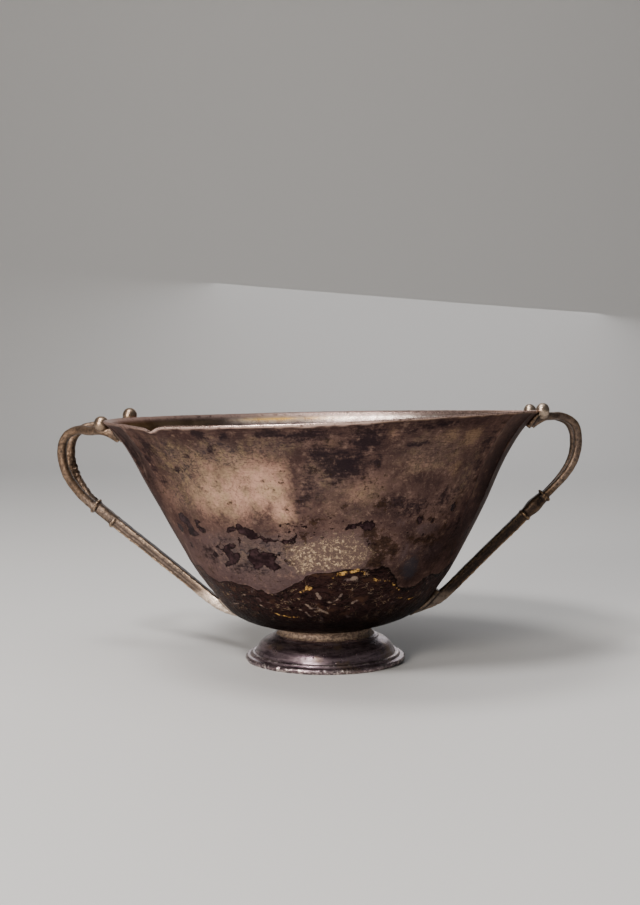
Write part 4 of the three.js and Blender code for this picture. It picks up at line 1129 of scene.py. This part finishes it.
for form, strap_tones, loop_tones, bright, shine in (
    (left_form, ((58, 48, 42), (96, 80, 68)), ((50, 38, 30), (96, 74, 56)), (176, 150, 124), (150, 128, 108)),
    (right_form, ((24, 16, 14), (62, 45, 32)), ((52, 42, 38), (108, 92, 82)), (150, 122, 92), (166, 148, 130)),
):
    silver = handle_finish("cast_silver_" + form["name"], strap_tones, loop_tones, bright, shine)
    casting = cast_handle(form, silver)
    points, edges, faces = fused(casting, 0.22)
    for _ in range(3):
        points = lerp(points, neighbour_mean(points, edges), 0.5)
    normals = point_normals(points, faces)
    hollow = ((neighbour_mean(points, edges) - points) * normals).sum(1)
    for _ in range(4):
        hollow = neighbour_mean(hollow, edges)
    strap_top = np.array([wall_radius(form["collar_height"]) + form["collar_out"], form["collar_height"]])
    strap_low = off_wall(form["bend_height"], form["bend_out"])
    run = (strap_top - strap_low) / np.linalg.norm(strap_top - strap_low)
    off_middle = (points[:, 2] - strap_low[1]) * run[0] - (points[:, 0] - strap_low[0]) * run[1]
    on_strap = ease(points[:, 2], 10, 14) * (1 - ease(points[:, 2], 35, 37))
    lines = on_strap * (0.5 + 0.5 * np.cos(2 * math.pi * (off_middle + 0.15 * ripple(points, 7, 33)) / 1.15))
    eaten = form["corroded"] * ease(-points[:, 1], 0.8, 2) * ease(points[:, 2], 40, 44)
    eaten *= 1 - ease(points[:, 2], 58, 64)
    points = points + normals * (eaten * 0.2 * ripple(points, 1.1, 34))[:, None]
    uneven = 0.05 * ripple(points, 1.6, 31) + 0.04 * ripple(points, 3.4, 32) - 0.07 * lines
    points = points + normals * uneven[:, None]
    ball_out = math.sqrt((rim_radius + form["ball_out"]) ** 2 - form["ball_spread"] ** 2)
    sink = math.tan(math.radians(form["roll"])) * form["ball_spread"]
    balls = [(ball_out, way * form["ball_spread"], bowl_height + form["ball_rise"] - way * sink) for way in (-1, 1)]
    from_ball = np.min([np.linalg.norm(points - ball, axis=1) for ball in balls], 0)
    # the leaf plate is polished; on the left handle its bright colour is also a painted highlight
    leaf_polish_and_highlight = (1 - ease(points[:, 2], 8, 13)) * form["leaf_shine"]
    polish = np.maximum(1 - ease(from_ball, form["ball"] + 0.2, form["ball"] + 0.8), leaf_polish_and_highlight)
    spin = math.radians(form["azimuth"])
    lay = lay_bowl @ Matrix.Rotation(spin, 4, "Z")
    # the strap's upper edge carries painted shade and its lower edge a painted highlight
    handle = new_piece("silver_" + form["name"], points, faces, lay, {
        "edge": ease(-hollow, 0.002, 0.012), "groove": ease(hollow, 0.002, 0.012), "lines": lines,
        "shaded_upper_edge": on_strap * ease(off_middle, 0.9, 1.5), "lower": on_strap * ease(-off_middle, 1.1, 1.6),
        "loop": ease(points[:, 2], 44, 48), "polish": polish, "leaf": leaf_polish_and_highlight})
    handle.data.materials.append(silver)
    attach(handle, "root")
    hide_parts(form["name"])

# Studio: a plain pale table that sweeps up behind the cup. The key lamp is large and soft and stands low at the front
# left, three weaker ones hang above, and a faint wide one stands behind.
sweep_radius = 0.7
line = [(-2.2, 0)] + [
    (1.0 + sweep_radius * math.sin(turn), sweep_radius * (1 - math.cos(turn)))
    for turn in np.linspace(0, math.pi / 2, 32)] + [(1.0 + sweep_radius, 2.6)]
floor_mesh = bpy.data.meshes.new("floor")
floor_mesh.from_pydata(
    [(side, y, z) for y, z in line for side in (-2.6, 2.6)], [],
    [(2 * i, 2 * i + 1, 2 * i + 3, 2 * i + 2) for i in range(len(line) - 1)])
floor_mesh.shade_smooth()
floor = set_down("floor", floor_mesh)
paint = bpy.data.materials.new("pale_table")
paint.use_nodes = True
paint.node_tree.nodes["Principled BSDF"].inputs["Base Color"].default_value = (0.6, 0.59, 0.57, 1)
paint.node_tree.nodes["Principled BSDF"].inputs["Roughness"].default_value = 0.7
floor_mesh.materials.append(paint)

world = bpy.data.worlds.new("studio")
world.use_nodes = True
world.node_tree.nodes["Background"].inputs["Color"].default_value = (0.8, 0.82, 0.86, 1)
world.node_tree.nodes["Background"].inputs["Strength"].default_value = 0.12
bpy.context.scene.world = world
for name, place, aim, size, power, tint in (
    ("key", (-0.75, -1.05, 0.34), (-0.02, 0, 0.05), 0.45, 18, (1, 0.93, 0.86)),
    ("top", (-0.26, -0.1, 0.95), (0, 0, 0.05), 0.3, 4, (1, 0.97, 0.95)),
    ("high", (-0.36, -0.54, 0.8), (0, 0, 0.02), 0.2, 7.5, (1, 0.97, 0.97)),
    ("wide", (0, -0.2, 1.5), (0, 0, 0.05), 1.5, 6, (0.96, 0.97, 1)),
    ("behind", (0.15, 1.4, 0.55), (0, 0, 0.06), 0.9, 3, (0.96, 0.96, 1)),
):
    lamp = set_down(name, bpy.data.lights.new(name, "AREA"))
    lamp.data.shape, lamp.data.size, lamp.data.energy, lamp.data.color = "DISK", size, power, tint
    lamp.location = place
    lamp.rotation_euler = (Vector(aim) - Vector(place)).to_track_quat("-Z", "Y").to_euler()
